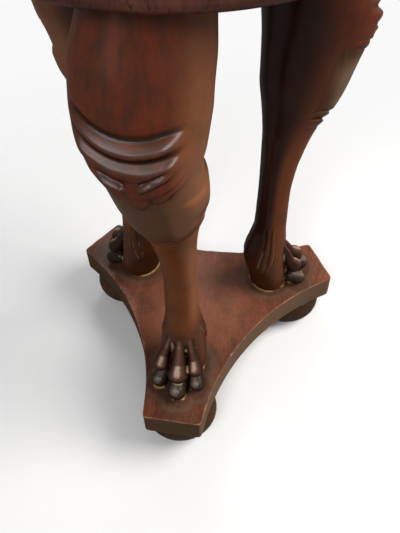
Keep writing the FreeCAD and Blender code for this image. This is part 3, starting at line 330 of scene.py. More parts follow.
def leg_field(x, y, z, lean=0.0):
    """Signed distance, roughly, to a carved leg standing along +x. Negative is inside."""
    back, forth, half, share, leaning = (np.interp(z, FINE_Z, column) for column in FINE)
    straight = y
    y = y + lean * leaning
    middle = back + share * (forth - back)
    u = (x - middle) / np.where(x > middle, forth - middle, middle - back)
    v = y / half
    power = 2 + 0.45 * smoothstep(110, 135, z) * (1 - smoothstep(235, 275, z))
    k = np.maximum((np.abs(u) ** power + np.abs(v) ** power) ** (1 / power), 1e-4)
    gap = np.hypot(x - middle, y) * (1 - 1 / k)
    lift = np.zeros_like(x)
    for bottom, top, relief in RELIEFS:
        zone = (z > bottom) & (z < top)
        if zone.any():
            lift[zone] += relief(*(a[zone] for a in (x, y, z, u / k, v / k)), lean)
    field = gap - lift
    low = z < PAW_TOP
    if low.any():
        xs, ys, zs = x[low], straight[low], z[low]
        paw = field[low]
        joined = 1.2 + 4.0 * smoothstep(58, 92, zs)
        for toe in TOES:
            paw = soft_min(paw, ball_chain(xs, ys, zs, toe), joined)
        for claw in CLAWS:
            paw = soft_min(paw, ball_chain(xs, ys, zs, claw), 0.8)
        field[low] = paw
    return np.maximum(field, np.maximum(-z, z - LEG_HEIGHT))


def surface_net(field, start, step):
    """A mesh of quads round the inside of a grid of signed distances."""
    inside = field < 0
    nx, ny, nz = (n - 1 for n in inside.shape)
    count = sum(inside[i:nx + i, j:ny + j, k:nz + k].astype(np.int8)
                for i in (0, 1) for j in (0, 1) for k in (0, 1))
    active = (count > 0) & (count < 8)
    index = np.full(active.shape, -1, np.int64)
    cells = np.argwhere(active)
    index[active] = np.arange(len(cells))
    total, hits = np.zeros((len(cells), 3)), np.zeros(len(cells))
    for axis in range(3):
        for p in (0, 1):
            for q in (0, 1):
                offset = np.insert(np.array([p, q]), axis, 0)
                a_at, b_at = cells + offset, cells + offset
                b_at = b_at + np.eye(3, dtype=int)[axis]
                a, b = field[tuple(a_at.T)], field[tuple(b_at.T)]
                cross = (a < 0) != (b < 0)
                t = np.where(cross, a / np.where(cross, a - b, 1), 0)
                point = offset + np.outer(t, np.eye(3)[axis])
                total[cross] += point[cross]
                hits += cross
    verts = np.array(start) + step * (cells + total / hits[:, None])
    quads = []
    for axis in range(3):
        u, v = (axis + 1) % 3, (axis + 2) % 3
        low = [slice(None)] * 3
        high = [slice(None)] * 3
        low[axis], high[axis] = slice(0, -1), slice(1, None)
        change = inside[tuple(low)] != inside[tuple(high)]
        at = np.argwhere(change)
        at = at[(at[:, u] > 0) & (at[:, v] > 0)
                & (at[:, u] < field.shape[u] - 1) & (at[:, v] < field.shape[v] - 1)]
        du, dv = np.eye(3, dtype=int)[u], np.eye(3, dtype=int)[v]
        ring = [index[tuple((at - a * du - b * dv).T)] for a, b in ((1, 1), (0, 1), (0, 0), (1, 0))]
        quad = np.stack(ring, 1)
        flip = ~inside[tuple(at.T)]
        quad[flip] = quad[flip][:, ::-1]
        quads.append(quad)
    return verts, np.concatenate(quads)


def make_mesh(name, verts, quads):
    """A smooth-shaded mesh in metres from points in millimetres and faces of four corners."""
    mesh = bpy.data.meshes.new(name)
    mesh.vertices.add(len(verts))
    mesh.vertices.foreach_set("co", (verts * MM).astype(np.float32).ravel())
    mesh.loops.add(quads.size)
    mesh.loops.foreach_set("vertex_index", quads.astype(np.int32).ravel())
    mesh.polygons.add(len(quads))
    mesh.polygons.foreach_set("loop_start", np.arange(0, quads.size, 4, dtype=np.int32))
    mesh.update(calc_edges=True)
    mesh.validate()
    mesh.polygons.foreach_set("use_smooth", np.ones(len(mesh.polygons), bool))
    return mesh


def paint(mesh, name, values):
    """A number at each point, for a material to read."""
    layer = mesh.attributes.new(name, "FLOAT", "POINT")
    layer.data.foreach_set("value", values.astype(np.float32))


def neighbours_mean(values, edges, count):
    """The mean over each point's neighbours."""
    total = np.zeros((count,) + values.shape[1:])
    np.add.at(total, edges[:, 0], values[edges[:, 1]])
    np.add.at(total, edges[:, 1], values[edges[:, 0]])
    degree = np.bincount(edges.ravel(), minlength=count)
    return total / (degree[:, None] if values.ndim > 1 else degree)


def leg_grid(step, lean):
    """The leg's field on its grid, a few levels at a time."""
    shape = np.ceil((GRID_HIGH - GRID_LOW) / step).astype(int)
    xs, ys, zs = (GRID_LOW[i] + step * np.arange(shape[i]) for i in range(3))
    field = np.empty(shape, np.float32)
    gx, gy = np.meshgrid(xs, ys, indexing="ij")
    for first in range(0, shape[2], 24):
        levels = zs[first:first + 24]
        block = [np.repeat(g[:, :, None], len(levels), 2) for g in (gx, gy)]
        deep = np.broadcast_to(levels, block[0].shape).copy()
        field[:, :, first:first + 24] = leg_field(block[0], block[1], deep, lean)
    return field


def settle(verts, lean):
    """Moves the points onto the leg's surface, in three steps of 1.2 mm at most."""

    def field(at):
        return leg_field(*at.T.copy(), lean)

    for _ in range(3):
        slope = np.stack([(field(verts + d) - field(verts - d)) / (2 * PROBE) for d in np.eye(3) * PROBE], 1)
        size = np.maximum((slope**2).sum(1), 0.25)
        verts = verts - np.clip(field(verts) / size, -1.2, 1.2)[:, None] * slope
    verts[:, 2] = np.clip(verts[:, 2], 0, LEG_HEIGHT)
    return verts


def hollows(mesh, verts):
    """How far each point lies under the mean of those round it, in millimetres."""
    edges = np.empty(len(mesh.edges) * 2, np.int32)
    mesh.edges.foreach_get("vertices", edges)
    edges = edges.reshape(-1, 2)
    normals = np.empty(len(verts) * 3, np.float32)
    mesh.vertices.foreach_get("normal", normals)
    soft = verts
    for _ in range(3):
        soft = neighbours_mean(soft, edges, len(verts))
    hollow = ((soft - verts) * normals.reshape(-1, 3)).sum(1)
    for _ in range(2):
        hollow = neighbours_mean(hollow, edges, len(verts))
    return hollow


def carve_leg(name, lean):
    """The leg's mesh, with the numbers at its points that its paint reads."""
    step = FINE_STEP
    verts, quads = surface_net(leg_grid(step, lean), GRID_LOW, step)
    verts = settle(verts, lean)
    mesh = make_mesh(name, verts, quads)
    hollow = hollows(mesh, verts)
    paint(mesh, "hollow", np.clip(hollow / DEEPEST, 0, 1))
    paint(mesh, "worn", np.clip(-hollow / PROUDEST, 0, 1))
    x, y, z = verts.T
    back, forth, half, share, leaning = (np.interp(z, FINE_Z, column) for column in FINE)
    middle = back + share * (forth - back)
    paint(mesh, "side", np.clip((y + lean * leaning) / half, -1, 1))
    paint(mesh, "inner", np.clip((middle - x) / (middle - back), 0, 1))
    # Which way each point of a toe or claw faces, for their painted highlights and painted shade.
    toe, gleam_facing = gleam_facing_of(verts, TOES, TOE_GLEAM)
    claw, claw_gleam_facing = gleam_facing_of(verts, CLAWS, CLAW_GLEAM)
    own = smoothstep(-1.0, 1.0, toe - claw)
    paint(mesh, "toe", (1 - smoothstep(0.8, 3.5, toe)) * (1 - own) * (1 - smoothstep(80, PAW_TOP, z)))
    paint(mesh, "claw", (1 - smoothstep(0.5, 2.0, claw)) * own)
    paint(mesh, "gleam_facing", np.where(claw < toe, claw_gleam_facing, gleam_facing))
    ahead = smoothstep(0.0, 0.35, (x - middle) / (forth - middle))
    painted_sheen, dirt_and_shade, cap = knee_marks(y + lean * leaning, z)
    paint(mesh, "cap", cap)
    paint(mesh, "painted_sheen", painted_sheen * ahead)
    paint(mesh, "dirt_and_shade", dirt_and_shade * ahead)
    return mesh


def ride(piece):
    bpy.context.scene.collection.objects.link(piece)
    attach(piece, "stand")
    return piece


leaning_leg, straight_leg = carve_leg("leaning_leg", FRONT_LEAN), carve_leg("straight_leg", 0.0)
legs = {}
for corner, angle in CORNERS.items():
    leg = bpy.data.objects.new(f"carved_leg_{corner}", leaning_leg if corner == "front" else straight_leg)
    turned = Matrix.Rotation(math.radians(angle), 4, "Z")
    leg.matrix_world = Matrix.Translation((0, 0, PLINTH_TOP * MM)) @ turned
    ride(leg)
    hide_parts(f"leg_{corner}")
    legs[corner] = leg


def plinth_outline():
    """Points round the plinth, anticlockwise, with the outward way at each."""
    points = []
    chord = 2 * (PLINTH_REACH * math.sin(math.radians(60)) - PLINTH_CORNER / 2)
    sag = PLINTH_CORNER * math.sin(math.radians(60)) + PLINTH_REACH / 2 - PLINTH_WAIST
    radius = ((chord / 2) ** 2 + sag**2) / (2 * sag)
    spread = math.asin(chord / 2 / radius)
    for angle in CORNERS.values():
        a = math.radians(angle)
        out, across = np.array([math.cos(a), math.sin(a)]), np.array([-math.sin(a), math.cos(a)])
        for t in np.linspace(-1, 1, 45):
            points.append(PLINTH_REACH * out + t * PLINTH_CORNER * across)
        b = a + math.radians(60)
        away = np.array([math.cos(b), math.sin(b)])
        side = np.array([-math.sin(b), math.cos(b)])
        centre = away * (PLINTH_WAIST + radius)
        for t in np.linspace(-spread, spread, 118)[1:-1]:
            points.append(centre - radius * math.cos(t) * away + radius * math.sin(t) * side)
    points = np.array(points)
    for _ in range(8):
        points = (np.roll(points, -1, 0) + 2 * points + np.roll(points, 1, 0)) / 4
    way = np.roll(points, -1, 0) - np.roll(points, 1, 0)
    way /= np.linalg.norm(way, axis=1)[:, None]
    for _ in range(5):
        way = (np.roll(way, -1, 0) + 2 * way + np.roll(way, 1, 0)) / 4
    return points, np.stack([way[:, 1], -way[:, 0]], 1)


def carve_plinth():
    """The plinth's mesh, with worn edges, and how far each point is from an edge and from a paw."""
    points, out = plinth_outline()
    count = len(points)
    along = np.cumsum(np.r_[0, np.linalg.norm(np.diff(points, axis=0), axis=1)])

    def waves(low, high, number):
        """A closed wavy line: a sum of waves, low to high of them in each metre."""
        total = np.zeros(count)
        for _ in range(number):
            rounds = max(round(rng.uniform(low, high) * along[-1] * MM), 1)
            total += rng.uniform(0.3, 1) * np.sin(2 * math.pi * rounds * along / along[-1] + rng.uniform(0, 7))
        return total / number

    worn_top = 0.9 + 0.8 * np.clip(waves(4, 40, 14) * 3, -0.6, 1.6)
    worn_low = 0.9 + 0.4 * waves(4, 30, 10)
    for at in rng.choice(count, 26, replace=False):
        near = np.minimum(np.abs(np.arange(count) - at), count - np.abs(np.arange(count) - at))
        worn_top += rng.uniform(0.4, 1.3) * np.exp(-((near / rng.uniform(0.7, 1.8)) ** 2))
    rings, edge = [], []

    def level(flat, z, far=FAR):
        rings.append(np.column_stack([flat, np.broadcast_to(z, count)]))
        edge.append(np.full(count, far))

    def ring(inset, z, far=FAR):
        level(points - out * np.reshape(inset, (-1, 1)), z, far)

    for share in (0.0, 0.3, 0.6, 0.85, 0.95):
        level(points * share, PLINTH_UNDER)
    ring(3.5, PLINTH_UNDER, 3.0)
    for turn in (0, 30, 60, 90):
        a = math.radians(turn)
        ring(worn_low * (1 - math.sin(a)), PLINTH_UNDER + worn_low * (1 - math.cos(a)), 0.0)
    ring(0.0, PLINTH_UNDER + 4.0, 3.0)
    for share in (0.3, 0.5, 0.7):
        ring(0.0, PLINTH_UNDER + share * (PLINTH_TOP - PLINTH_UNDER))
    ring(0.0, PLINTH_TOP - 4.5, 3.5)
    ring(0.0, PLINTH_TOP - worn_top - 0.6, 0.6)
    for turn in (0, 22, 45, 68, 90):
        a = math.radians(turn)
        ring(worn_top * (1 - math.cos(a)), PLINTH_TOP - worn_top * (1 - math.sin(a)), 0.0)
    ring(worn_top + 0.6, PLINTH_TOP, 0.6)
    ring(4.5, PLINTH_TOP, 3.5)
    inner = points - out * 4.5
    for share in np.linspace(0.985, 0.0, TOP_RINGS):
        level(inner * share, PLINTH_TOP)
    verts = np.concatenate(rings)
    starts = np.arange(len(rings) - 1)[:, None] * count
    first, following = starts + np.arange(count), starts + (np.arange(count) + 1) % count
    quads = np.stack([first, following, following + count, first + count], -1).reshape(-1, 4)
    mesh = make_mesh("plinth_board", verts, quads)
    paint(mesh, "edge", np.concatenate(edge))
    gap = np.full(len(verts), NO_PAW)
    for angle in CORNERS.values():
        a = math.radians(angle)
        x = verts[:, 0] * math.cos(a) + verts[:, 1] * math.sin(a)
        y = -verts[:, 0] * math.sin(a) + verts[:, 1] * math.cos(a)
        near = (x > 40) & (np.abs(verts[:, 2] - PLINTH_TOP) < 1)
        gap[near] = np.minimum(gap[near], leg_field(x[near], y[near], np.full(near.sum(), 6.0)))
    paint(mesh, "paw", gap)
    return mesh


plinth = bpy.data.objects.new("plinth_board", carve_plinth())
ride(plinth)
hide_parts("plinth")


class Nodes:
    """A node tree, written as sums of small calls."""

    def __init__(self, tree):
        self.tree = tree

    def node(self, kind, values=(), **settings):
        made = self.tree.nodes.new(kind)
        for key, value in settings.items():
            setattr(made, key, value)
        for key, value in dict(values).items():
            self.put(made.inputs[key], value)
        return made

    def put(self, socket, value):
        if isinstance(value, bpy.types.NodeSocket):
            self.tree.links.new(value, socket)
        else:
            socket.default_value = value

    def maths(self, way, a, b):
        return self.node("ShaderNodeMath", {0: a, 1: b}, operation=way).outputs[0]

    def times(self, *values):
        return functools.reduce(lambda a, b: self.maths("MULTIPLY", a, b), values)

    def most(self, *values):
        return functools.reduce(lambda a, b: self.maths("MAXIMUM", a, b), values)

    def parts(self, vector):
        return self.node("ShaderNodeSeparateXYZ", {0: vector}).outputs

    def blend(self, share, a, b, kind="Float"):
        made = self.node("ShaderNodeMix", data_type={"Float": "FLOAT", "Color": "RGBA"}[kind])
        for key, value in (("Factor_Float", share), (f"A_{kind}", a), (f"B_{kind}", b)):
            self.put(next(s for s in made.inputs if s.identifier == key), value)
        return next(s for s in made.outputs if s.identifier == f"Result_{kind}")


class Paint(Nodes):
    """A material."""

    def __init__(self, name):
        self.material = bpy.data.materials.new(name)
        self.material.use_nodes = True
        super().__init__(self.material.node_tree)
        self.shader = self.tree.nodes["Principled BSDF"]

    def set(self, **values):
        for key, value in values.items():
            self.put(self.shader.inputs[key.replace("_", " ")], value)

    def place(self, scale=(1, 1, 1), shift=(0, 0, 0)):
        coords = self.node("ShaderNodeTexCoord").outputs["Object"]
        return self.node("ShaderNodeMapping", {"Vector": coords, "Scale": scale, "Location": shift}).outputs[0]

    def away(self, scale=(1, 1, 1)):
        """How far each place lies from the middle."""
        return self.node("ShaderNodeVectorMath", {0: self.place(scale)}, operation="LENGTH").outputs["Value"]

    def noise(self, where, scale, detail=3.0, rough=0.5, bend=0.0):
        made = self.node("ShaderNodeTexNoise", {"Vector": where, "Scale": scale, "Detail": detail,
                                                "Roughness": rough, "Distortion": bend})
        return made.outputs["Fac"]

    def span(self, value, low, high, out_low=0.0, out_high=1.0):
        return self.node("ShaderNodeMapRange", {"Value": value, "From Min": low, "From Max": high,
                                                "To Min": out_low, "To Max": out_high},
                         interpolation_type="SMOOTHSTEP").outputs[0]

    def fall(self, value, low, high):
        return self.span(value, low, high, 1.0, 0.0)

    def band(self, value, low, full, still, high):
        """1 from full to still, fading out to low and high."""
        return self.times(self.span(value, low, full), self.fall(value, still, high))

    def ramp(self, value, *stops):
        made = self.node("ShaderNodeValToRGB", {"Fac": value})
        elements = made.color_ramp.elements
        while len(elements) < len(stops):
            elements.new(0.5)
        for element, (place, colour) in zip(elements, stops):
            element.position = place
            element.color = (*colour, 1)
        return made.outputs["Color"]

    def mix(self, share, a, b):
        a, b = ((*value, 1) if isinstance(value, tuple) else value for value in (a, b))
        return self.blend(share, a, b, "Color")

    def layers(self, colour, *coats):
        """Colours laid over the first in turn, each given as where it lies, how strongly, and the colour."""
        for share, strength, tint in coats:
            colour = self.mix(self.times(share, strength), colour, tint)
        return colour

    def read(self, name):
        return self.node("ShaderNodeAttribute", attribute_name=name).outputs["Fac"]

    def bump(self, height, strength, depth):
        values = {"Height": height, "Strength": strength, "Distance": depth}
        return self.node("ShaderNodeBump", values).outputs[0]

    def cover(self, thing):
        thing.data.materials.clear()
        thing.data.materials.append(self.material)


def wood(name, dark, middle, light, grain, gloss):
    """Figured, waxed wood. The grain's three numbers are how quickly the figure changes along x, y
    and z. Returns the paint, its colour and its grain height."""
    p = Paint(name)
    broad = p.noise(p.place(tuple(g * 0.16 for g in grain)), 1.0, 4.0, 0.55, 0.6)
    streak = p.noise(p.place(grain), 1.0, 5.0, 0.6, 0.3)
    fibre = p.noise(p.place(tuple(g * 7 for g in grain)), 1.0, 3.0, 0.6)
    pore = p.noise(p.place(tuple(g * 16 for g in grain), shift=(3, 1, 2)), 1.0, 1.0, 0.5)
    blend = p.maths("ADD", p.times(broad, 0.62), p.times(streak, 0.38))
    colour = p.ramp(blend, (0.33, dark), (0.5, middle), (0.66, light))
    colour = p.mix(p.span(fibre, 0.35, 0.7, 0.0, 0.38), colour, tuple(c * 0.45 for c in dark))
    pores = p.span(pore, 0.60, 0.68)
    colour = p.mix(p.times(pores, 0.5), colour, tuple(c * 0.3 for c in dark))
    height = p.maths("SUBTRACT", p.times(fibre, 0.4), pores)
    p.set(Roughness=p.span(streak, 0.3, 0.7, gloss - 0.06, gloss + 0.1), Specular_IOR_Level=0.0,
          Coat_Weight=0.08, Coat_Roughness=0.22, Coat_IOR=1.8)
    return p, colour, height


DARK, MIDDLE, LIGHT = (0.045, 0.017, 0.012), (0.125, 0.040, 0.026), (0.215, 0.080, 0.050)
GOLD, WORN = (0.42, 0.27, 0.09), (0.42, 0.20, 0.12)


def plinth_paint():
    """Boards with a lighter, redder middle that is a painted sheen, grime and gold round the paws, dark sides
    with grime that are painted lighter where they face +x, and worn edges.
    """
    p, colour, height = wood("old_mahogany_board", (0.060, 0.020, 0.011), (0.162, 0.051, 0.029),
                             (0.310, 0.112, 0.064), (46, 7, 46), 0.38)
    cloud = p.noise(p.place(), 12.0, 5.0, 0.65)
    paw = p.read("paw")
    ragged = p.maths("ADD", paw, p.times(p.noise(p.place(), 90.0, 3.0), 14.0))
    close = p.maths("ADD", paw, p.times(p.noise(p.place(), 260.0, 2.0), 3.0))
    patch = p.noise(p.place(shift=(5, 2, 1)), 46.0, 2.0)
    speck = p.noise(p.place(), 620.0, 1.0)
    facing = p.parts(p.node("ShaderNodeNewGeometry").outputs["True Normal"])
    shade = p.noise(p.place(shift=(1, 5, 3)), 16.0, 3.0)
    side_grime_and_painted_light = p.ramp(shade, (0.35, (0.050, 0.029, 0.004)), (0.65, (0.080, 0.038, 0.014)))
    # Sides that face +x are painted lighter: painted light over the grime.
    side_grime_and_painted_light = p.mix(p.span(facing["X"], 0.3, 0.75, 0.0, 0.6), side_grime_and_painted_light, (0.190, 0.118, 0.070))
    edge = p.maths("ADD", p.read("edge"), p.times(p.noise(p.place(), 130.0, 4.0, 0.7), 1.6))
    chips = p.span(p.noise(p.place(shift=(7, 3, 0)), 34.0, 3.0), 0.42, 0.60, 0.25, 0.9)
    colour = p.layers(
        colour,
        # A lighter, redder middle: a painted sheen.
        (p.fall(p.away((1, 1, 0)), 0.03, 0.13), 0.5, (0.350, 0.135, 0.072)),
        (p.span(cloud, 0.48, 0.66), 0.55, (0.062, 0.036, 0.024)),
        (p.fall(ragged, 14.0, 34.0), 0.6, (0.055, 0.036, 0.024)),
        (p.band(ragged, 12.0, 17.0, 18.0, 26.0), 0.22, (0.190, 0.130, 0.075)),
        (p.fall(close, 1.7, 2.4), p.span(patch, 0.48, 0.56), GOLD),
        (p.span(speck, 0.66, 0.74), 0.4, (0.33, 0.19, 0.14)),
        # Dark grime on the sides, with painted light where they face +x.
        (p.fall(facing["Z"], 0.1, 0.5), 0.85, side_grime_and_painted_light),
        (p.fall(edge, 0.55, 1.15), chips, WORN),
    )
    p.set(Base_Color=colour, Normal=p.bump(height, 0.25, 0.0004))
    return p


def leg_paint():
    """Carved wood in zones: shank, calf, knee cap, flanks with painted light and painted shade, an inner side in
    painted shade, a paw with painted highlights and painted shade on toes and claws, and dirt with painted shade
    in what is hollow.
    """
    p, colour, height = wood("carved_mahogany", (0.052, 0.019, 0.008), (0.092, 0.031, 0.012),
                             (0.135, 0.048, 0.018), (30, 30, 5), 0.27)
    where = p.parts(p.place())
    out, up, aside, hollow = where["X"], where["Z"], p.read("side"), p.read("hollow")
    cloud = p.noise(p.place(), 20.0, 4.0, 0.6)
    calf = p.times(p.band(up, 0.28, 0.31, 0.355, 0.385), p.span(out, 0.135, 0.160))
    # The flank on the leg's +y side, the right one on the front leg, is painted lighter: painted light.
    painted_lit_flank = p.most(p.times(p.span(aside, 0.45, 0.9), p.span(up, 0.09, 0.14)),
                   p.times(calf, p.span(aside, 0.28, 0.5), 0.6))
    mottle = p.noise(p.place((90, 90, 26), (3, 3, 1)), 1.0, 4.0, 0.65)
    red = p.ramp(mottle, (0.34, (0.070, 0.019, 0.009)), (0.60, (0.145, 0.026, 0.008)))
    # The inner side, towards the back of the leg, is painted near black: painted shade.
    inner = p.times(p.span(p.read("inner"), 0.15, 0.6), p.span(up, 0.03, 0.08, 0.3, 1.0))
    colour = p.layers(
        colour,
        (p.band(up, 0.075, 0.12, 0.26, 0.31), 0.8, (0.180, 0.048, 0.009)),
        (calf, 0.75, (0.118, 0.050, 0.018)),
        # A paler tan on the calf's -y side: a painted rim of light.
        (p.times(calf, p.fall(aside, -0.85, -0.35)), 0.5, (0.210, 0.150, 0.100)),
        (p.read("cap"), 0.85, red),
        # Painted light on the +y flank.
        (painted_lit_flank, 0.75, (0.235, 0.092, 0.041)),
        # The back of the -y flank in a deep red: painted shade.
        (p.times(p.fall(aside, -0.9, -0.4), p.fall(out, 0.12, 0.15)), 0.7, (0.110, 0.028, 0.008)),
        # Painted shade on the inner side.
        (inner, 0.9, (0.014, 0.002, 0.001)),
        (p.span(cloud, 0.45, 0.72), 0.4, (0.040, 0.021, 0.009)),
        (p.fall(up, 0.045, 0.100), 0.85, (0.096, 0.031, 0.013)),
        (p.times(p.fall(up, 0.05, 0.11), p.fall(out, 0.100, 0.116)), 0.5, (0.036, 0.010, 0.004)),
    )
    grit = p.maths("SUBTRACT", p.noise(p.place((420, 420, 260)), 1.0, 3.0, 0.6), 0.5)
    # The toe and claw colours below are painted highlights on the sides that face TOE_GLEAM and CLAW_GLEAM, and
    # painted shade, near black, on the sides away from them.
    ragged = p.maths("ADD", p.read("gleam_facing"), p.times(grit, 0.12))
    toe = p.ramp(ragged, (0.42, (0.012, 0.006, 0.003)), (0.80, (0.056, 0.019, 0.011)),
                 (0.95, (0.130, 0.062, 0.040)), (0.985, (0.340, 0.240, 0.160)))
    claw = p.ramp(ragged, (0.30, (0.012, 0.009, 0.005)), (0.82, (0.034, 0.025, 0.018)),
                  (0.97, (0.160, 0.122, 0.096)))
    streak = p.noise(p.place((60, 60, 420)), 1.0, 3.0, 0.6)
    patch = p.noise(p.place(shift=(2, 4, 6)), 70.0, 3.0)
    residue = p.times(p.band(hollow, 0.16, 0.34, 0.55, 0.85), p.span(patch, 0.42, 0.56),
                      p.span(out, 0.105, 0.125, 0.3, 1.0), p.fall(up, 0.06, 0.12))
    broken = p.noise(p.place(shift=(4, 1, 3)), 150.0, 2.0)
    colour = p.layers(
        colour,
        # Painted highlights and painted shade on toes and claws.
        (p.read("toe"), 0.9, toe),
        (p.read("claw"), 0.9, claw),
        # Dirt, and painted shade, in what is hollow and along the knee's valleys, edges, dots and calf folds.
        (p.most(p.span(hollow, 0.12, 0.7), p.read("dirt_and_shade")), 0.88, (0.014, 0.011, 0.006)),
        # A grey-pink painted sheen on the upward faces of the knee's folds and ridges.
        (p.times(p.read("painted_sheen"), p.span(streak, 0.3, 0.6, 0.35, 1.0)), 0.6, (0.080, 0.062, 0.052)),
        (residue, 0.85, (0.46, 0.37, 0.20)),
        (p.times(p.fall(up, 0.0006, 0.0014), p.span(broken, 0.54, 0.62)), 0.9, GOLD),
        (p.times(p.span(p.read("worn"), 0.25, 0.8), p.span(cloud, 0.35, 0.6)), 0.4, (0.17, 0.085, 0.055)),
    )
    p.set(Base_Color=colour, Normal=p.bump(height, 0.12, 0.0003), Coat_Weight=0.1, Coat_Roughness=0.3)
    return p


def plain_wood(name, grain, gloss=0.34, dark=DARK, middle=MIDDLE, light=LIGHT):
    p, colour, height = wood(name, dark, middle, light, grain, gloss)
    p.set(Base_Color=colour, Normal=p.bump(height, 0.2, 0.0003))
    return p


def foot_paint():
    p, colour, height = wood("turned_mahogany", (0.022, 0.011, 0.004), (0.056, 0.024, 0.008),
                             (0.100, 0.043, 0.015), (40, 40, 10), 0.34)
    cloud = p.noise(p.place(), 30.0, 4.0, 0.6)
    colour = p.layers(colour, (p.span(cloud, 0.45, 0.7), 0.6, (0.050, 0.034, 0.014)))
    p.set(Base_Color=colour, Normal=p.bump(height, 0.2, 0.0003), Coat_Weight=0.12)
    return p


def metal(name, colour, tarnish, rough):
    p = Paint(name)
    cloud = p.noise(p.place(), 120.0, 4.0, 0.6)
    scratch = p.noise(p.place((900, 900, 90)), 1.0, 2.0)
    p.set(Base_Color=p.mix(p.span(cloud, 0.4, 0.7), colour, tarnish), Metallic=1.0,
          Roughness=p.span(cloud, 0.3, 0.7, rough, rough + 0.2), Normal=p.bump(scratch, 0.15, 0.0001))
    return p


def glass():
    p = Paint("bowl_glass")
    seed = p.noise(p.place(), 60.0, 2.0)
    p.set(Base_Color=(0.92, 0.97, 0.95, 1), Roughness=0.02, Transmission_Weight=1.0, IOR=1.5,
          Normal=p.bump(seed, 0.04, 0.0004))
    return p


def cloth():
    p = Paint("lid_cloth")
    threads = (p.node("ShaderNodeTexWave", {"Vector": p.place(), "Scale": 700.0}, bands_direction=way)
               for way in "XY")
    knit = p.times(*(thread.outputs["Fac"] for thread in threads))
    cloud = p.noise(p.place(), 18.0, 4.0)
    p.set(Base_Color=p.mix(p.span(cloud, 0.3, 0.7), (0.10, 0.016, 0.018), (0.17, 0.035, 0.032)), Roughness=0.9,
          Normal=p.bump(knit, 0.4, 0.0002))
    return p


plinth_paint().cover(plinth)
carved = leg_paint()
carved.cover(legs["front"])
carved.cover(legs["right"])
finishes = {
    "foot_mahogany": foot_paint(),
    "chest_mahogany": plain_wood("chest_veneer", (26, 26, 5)),
    "board_mahogany": plain_wood("board_wood", (60, 6, 60)),
    "cedar_lining": plain_wood("cedar", (50, 50, 8), 0.55, (0.16, 0.062, 0.028), (0.30, 0.13, 0.06),
                               (0.42, 0.21, 0.11)),
    "canister_rosewood": plain_wood("rosewood", (70, 9, 70), 0.3, (0.018, 0.008, 0.006), (0.07, 0.024, 0.016),
                                    (0.16, 0.06, 0.03)),
    "dowel_beech": plain_wood("beech", (90, 90, 14), 0.55, (0.36, 0.21, 0.11), (0.5, 0.32, 0.18),
                              (0.62, 0.42, 0.26)),
    "lid_cloth": cloth(),
    "brass": metal("old_brass", (0.62, 0.42, 0.17), (0.30, 0.20, 0.09), 0.28),
    "steel": metal("old_steel", (0.42, 0.41, 0.40), (0.20, 0.18, 0.16), 0.34),
    "glass": glass(),
}
for part in frame["record"]["subparts"]:
    if part["material_slot"] in finishes:
        finishes[part["material_slot"]].cover(nodes[part["node"]])
lid_veneer = plain_wood("lid_veneer", (7, 52, 52))
lid_veneer.set(Coat_Weight=0.04, Coat_Roughness=0.4)
lid_veneer.cover(nodes["lid_top"])


def camera():
    """The photograph's camera, as solved from the outlines of plinth, feet and legs."""
    turn, tilt, roll = 0.1930, 0.8957, -0.0330
    place = (0.1102, -0.5455, 0.7958)
    back = Vector((math.sin(turn) * math.cos(tilt), -math.cos(turn) * math.cos(tilt), math.sin(tilt)))
    right = Vector((math.cos(turn), math.sin(turn), 0))
    up = back.cross(right)
    right, up = math.cos(roll) * right + math.sin(roll) * up, math.cos(roll) * up - math.sin(roll) * right
    made = bpy.data.objects.new("camera", bpy.data.cameras.new("camera"))
    made.data.sensor_width = 36.0
    made.data.lens = 40.5
    made.data.shift_y = 0.0484
    made.data.clip_start = 0.01
    made.matrix_world = Matrix.Translation(place) @ Matrix((right, up, back)).transposed().to_4x4()
    bpy.context.scene.collection.objects.link(made)
    bpy.context.scene.camera = made


def lamp(name, place, aim, size, power, colour=(1, 1, 1), tall=None):
    """A soft lamp. A tall one only shows as a gleam and lights no matt surface."""
    light = bpy.data.lights.new(name, "AREA")
    light.shape, light.size, light.energy, light.color = "ELLIPSE", size, power, colour
    light.size_y = tall or size
    made = bpy.data.objects.new(name, light)
    if tall:
        made.visible_diffuse = False
    made.location = place
    made.rotation_euler = (Vector(aim) - Vector(place)).to_track_quat("-Z", "Y").to_euler()
    bpy.context.scene.collection.objects.link(made)


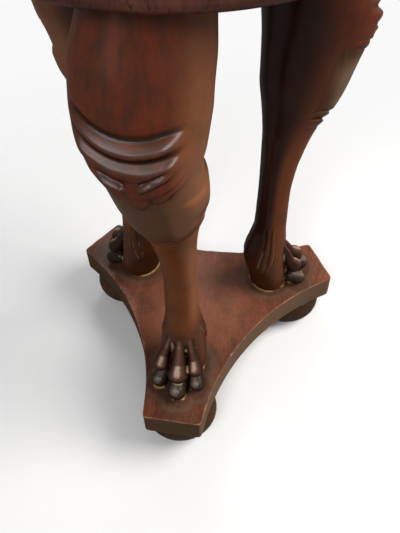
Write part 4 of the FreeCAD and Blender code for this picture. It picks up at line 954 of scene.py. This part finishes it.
def room():
    """A white room, which lights matt surfaces less than it shows, and fades upwards in gleams."""
    world = bpy.data.worlds.new("room")
    world.use_nodes = True
    bpy.context.scene.world = world
    n = Nodes(world.node_tree)
    path = n.node("ShaderNodeLightPath").outputs
    up = n.parts(n.node("ShaderNodeTexCoord").outputs["Generated"])["Z"]
    gleam = n.node("ShaderNodeMapRange", {"Value": up, "From Min": 0.0, "From Max": 0.5,
                                          "To Min": 0.9, "To Max": 0.2}).outputs[0]
    lit = n.blend(path["Is Glossy Ray"], 0.2, gleam)
    shown = n.most(path["Is Camera Ray"], path["Is Transmission Ray"])
    background = n.tree.nodes["Background"].inputs
    n.put(background["Strength"], n.blend(shown, lit, 0.95))
    n.put(background["Color"], (1, 1, 1, 1))


def white_floor():
    """A floor that keeps the shadow and fades into the room away from the object."""
    far = 12
    mesh = bpy.data.meshes.new("floor")
    mesh.from_pydata([(-far, -far, 0), (far, -far, 0), (far, far, 0), (-far, far, 0)], [], [(0, 1, 2, 3)])
    floor = bpy.data.objects.new("floor", mesh)
    bpy.context.scene.collection.objects.link(floor)
    p = Paint("white_floor")
    path = p.node("ShaderNodeLightPath").outputs
    seen = p.most(path["Is Camera Ray"], path["Is Glossy Ray"], path["Is Transmission Ray"])
    white = p.mix(p.noise(p.place(), 3.0, 2.0), (0.91, 0.91, 0.91), (0.93, 0.93, 0.93))
    p.set(Base_Color=p.mix(seen, (0.38, 0.37, 0.36), white), Roughness=0.9, Specular_IOR_Level=0.1,
          Alpha=p.span(p.away(), 0.12, 0.95, 1.0, 0.02))
    p.cover(floor)


camera()
room()
white_floor()
lamp("window", (1.5, 0.2, 1.6), (0, 0, 0.2), 1.4, 46, (1, 0.97, 0.94))
lamp("skylight", (-0.5, 1.4, 1.6), (0, 0, 0.3), 0.6, 7, (0.92, 0.96, 1))
lamp("front", (-0.3, -1.5, 1.7), (0, -0.1, 0.3), 0.6, 15)
lamp("gleam_left", (-0.72, -0.95, 1.5), (0, -0.1, 0.25), 0.6, 33, (0.94, 0.96, 1), tall=1.2)
lamp("gleam_right", (0.63, -1.05, 1.5), (0, -0.1, 0.25), 0.25, 36, (1, 0.98, 0.96), tall=0.9)
view = bpy.context.scene.view_settings
view.view_transform = "Standard"
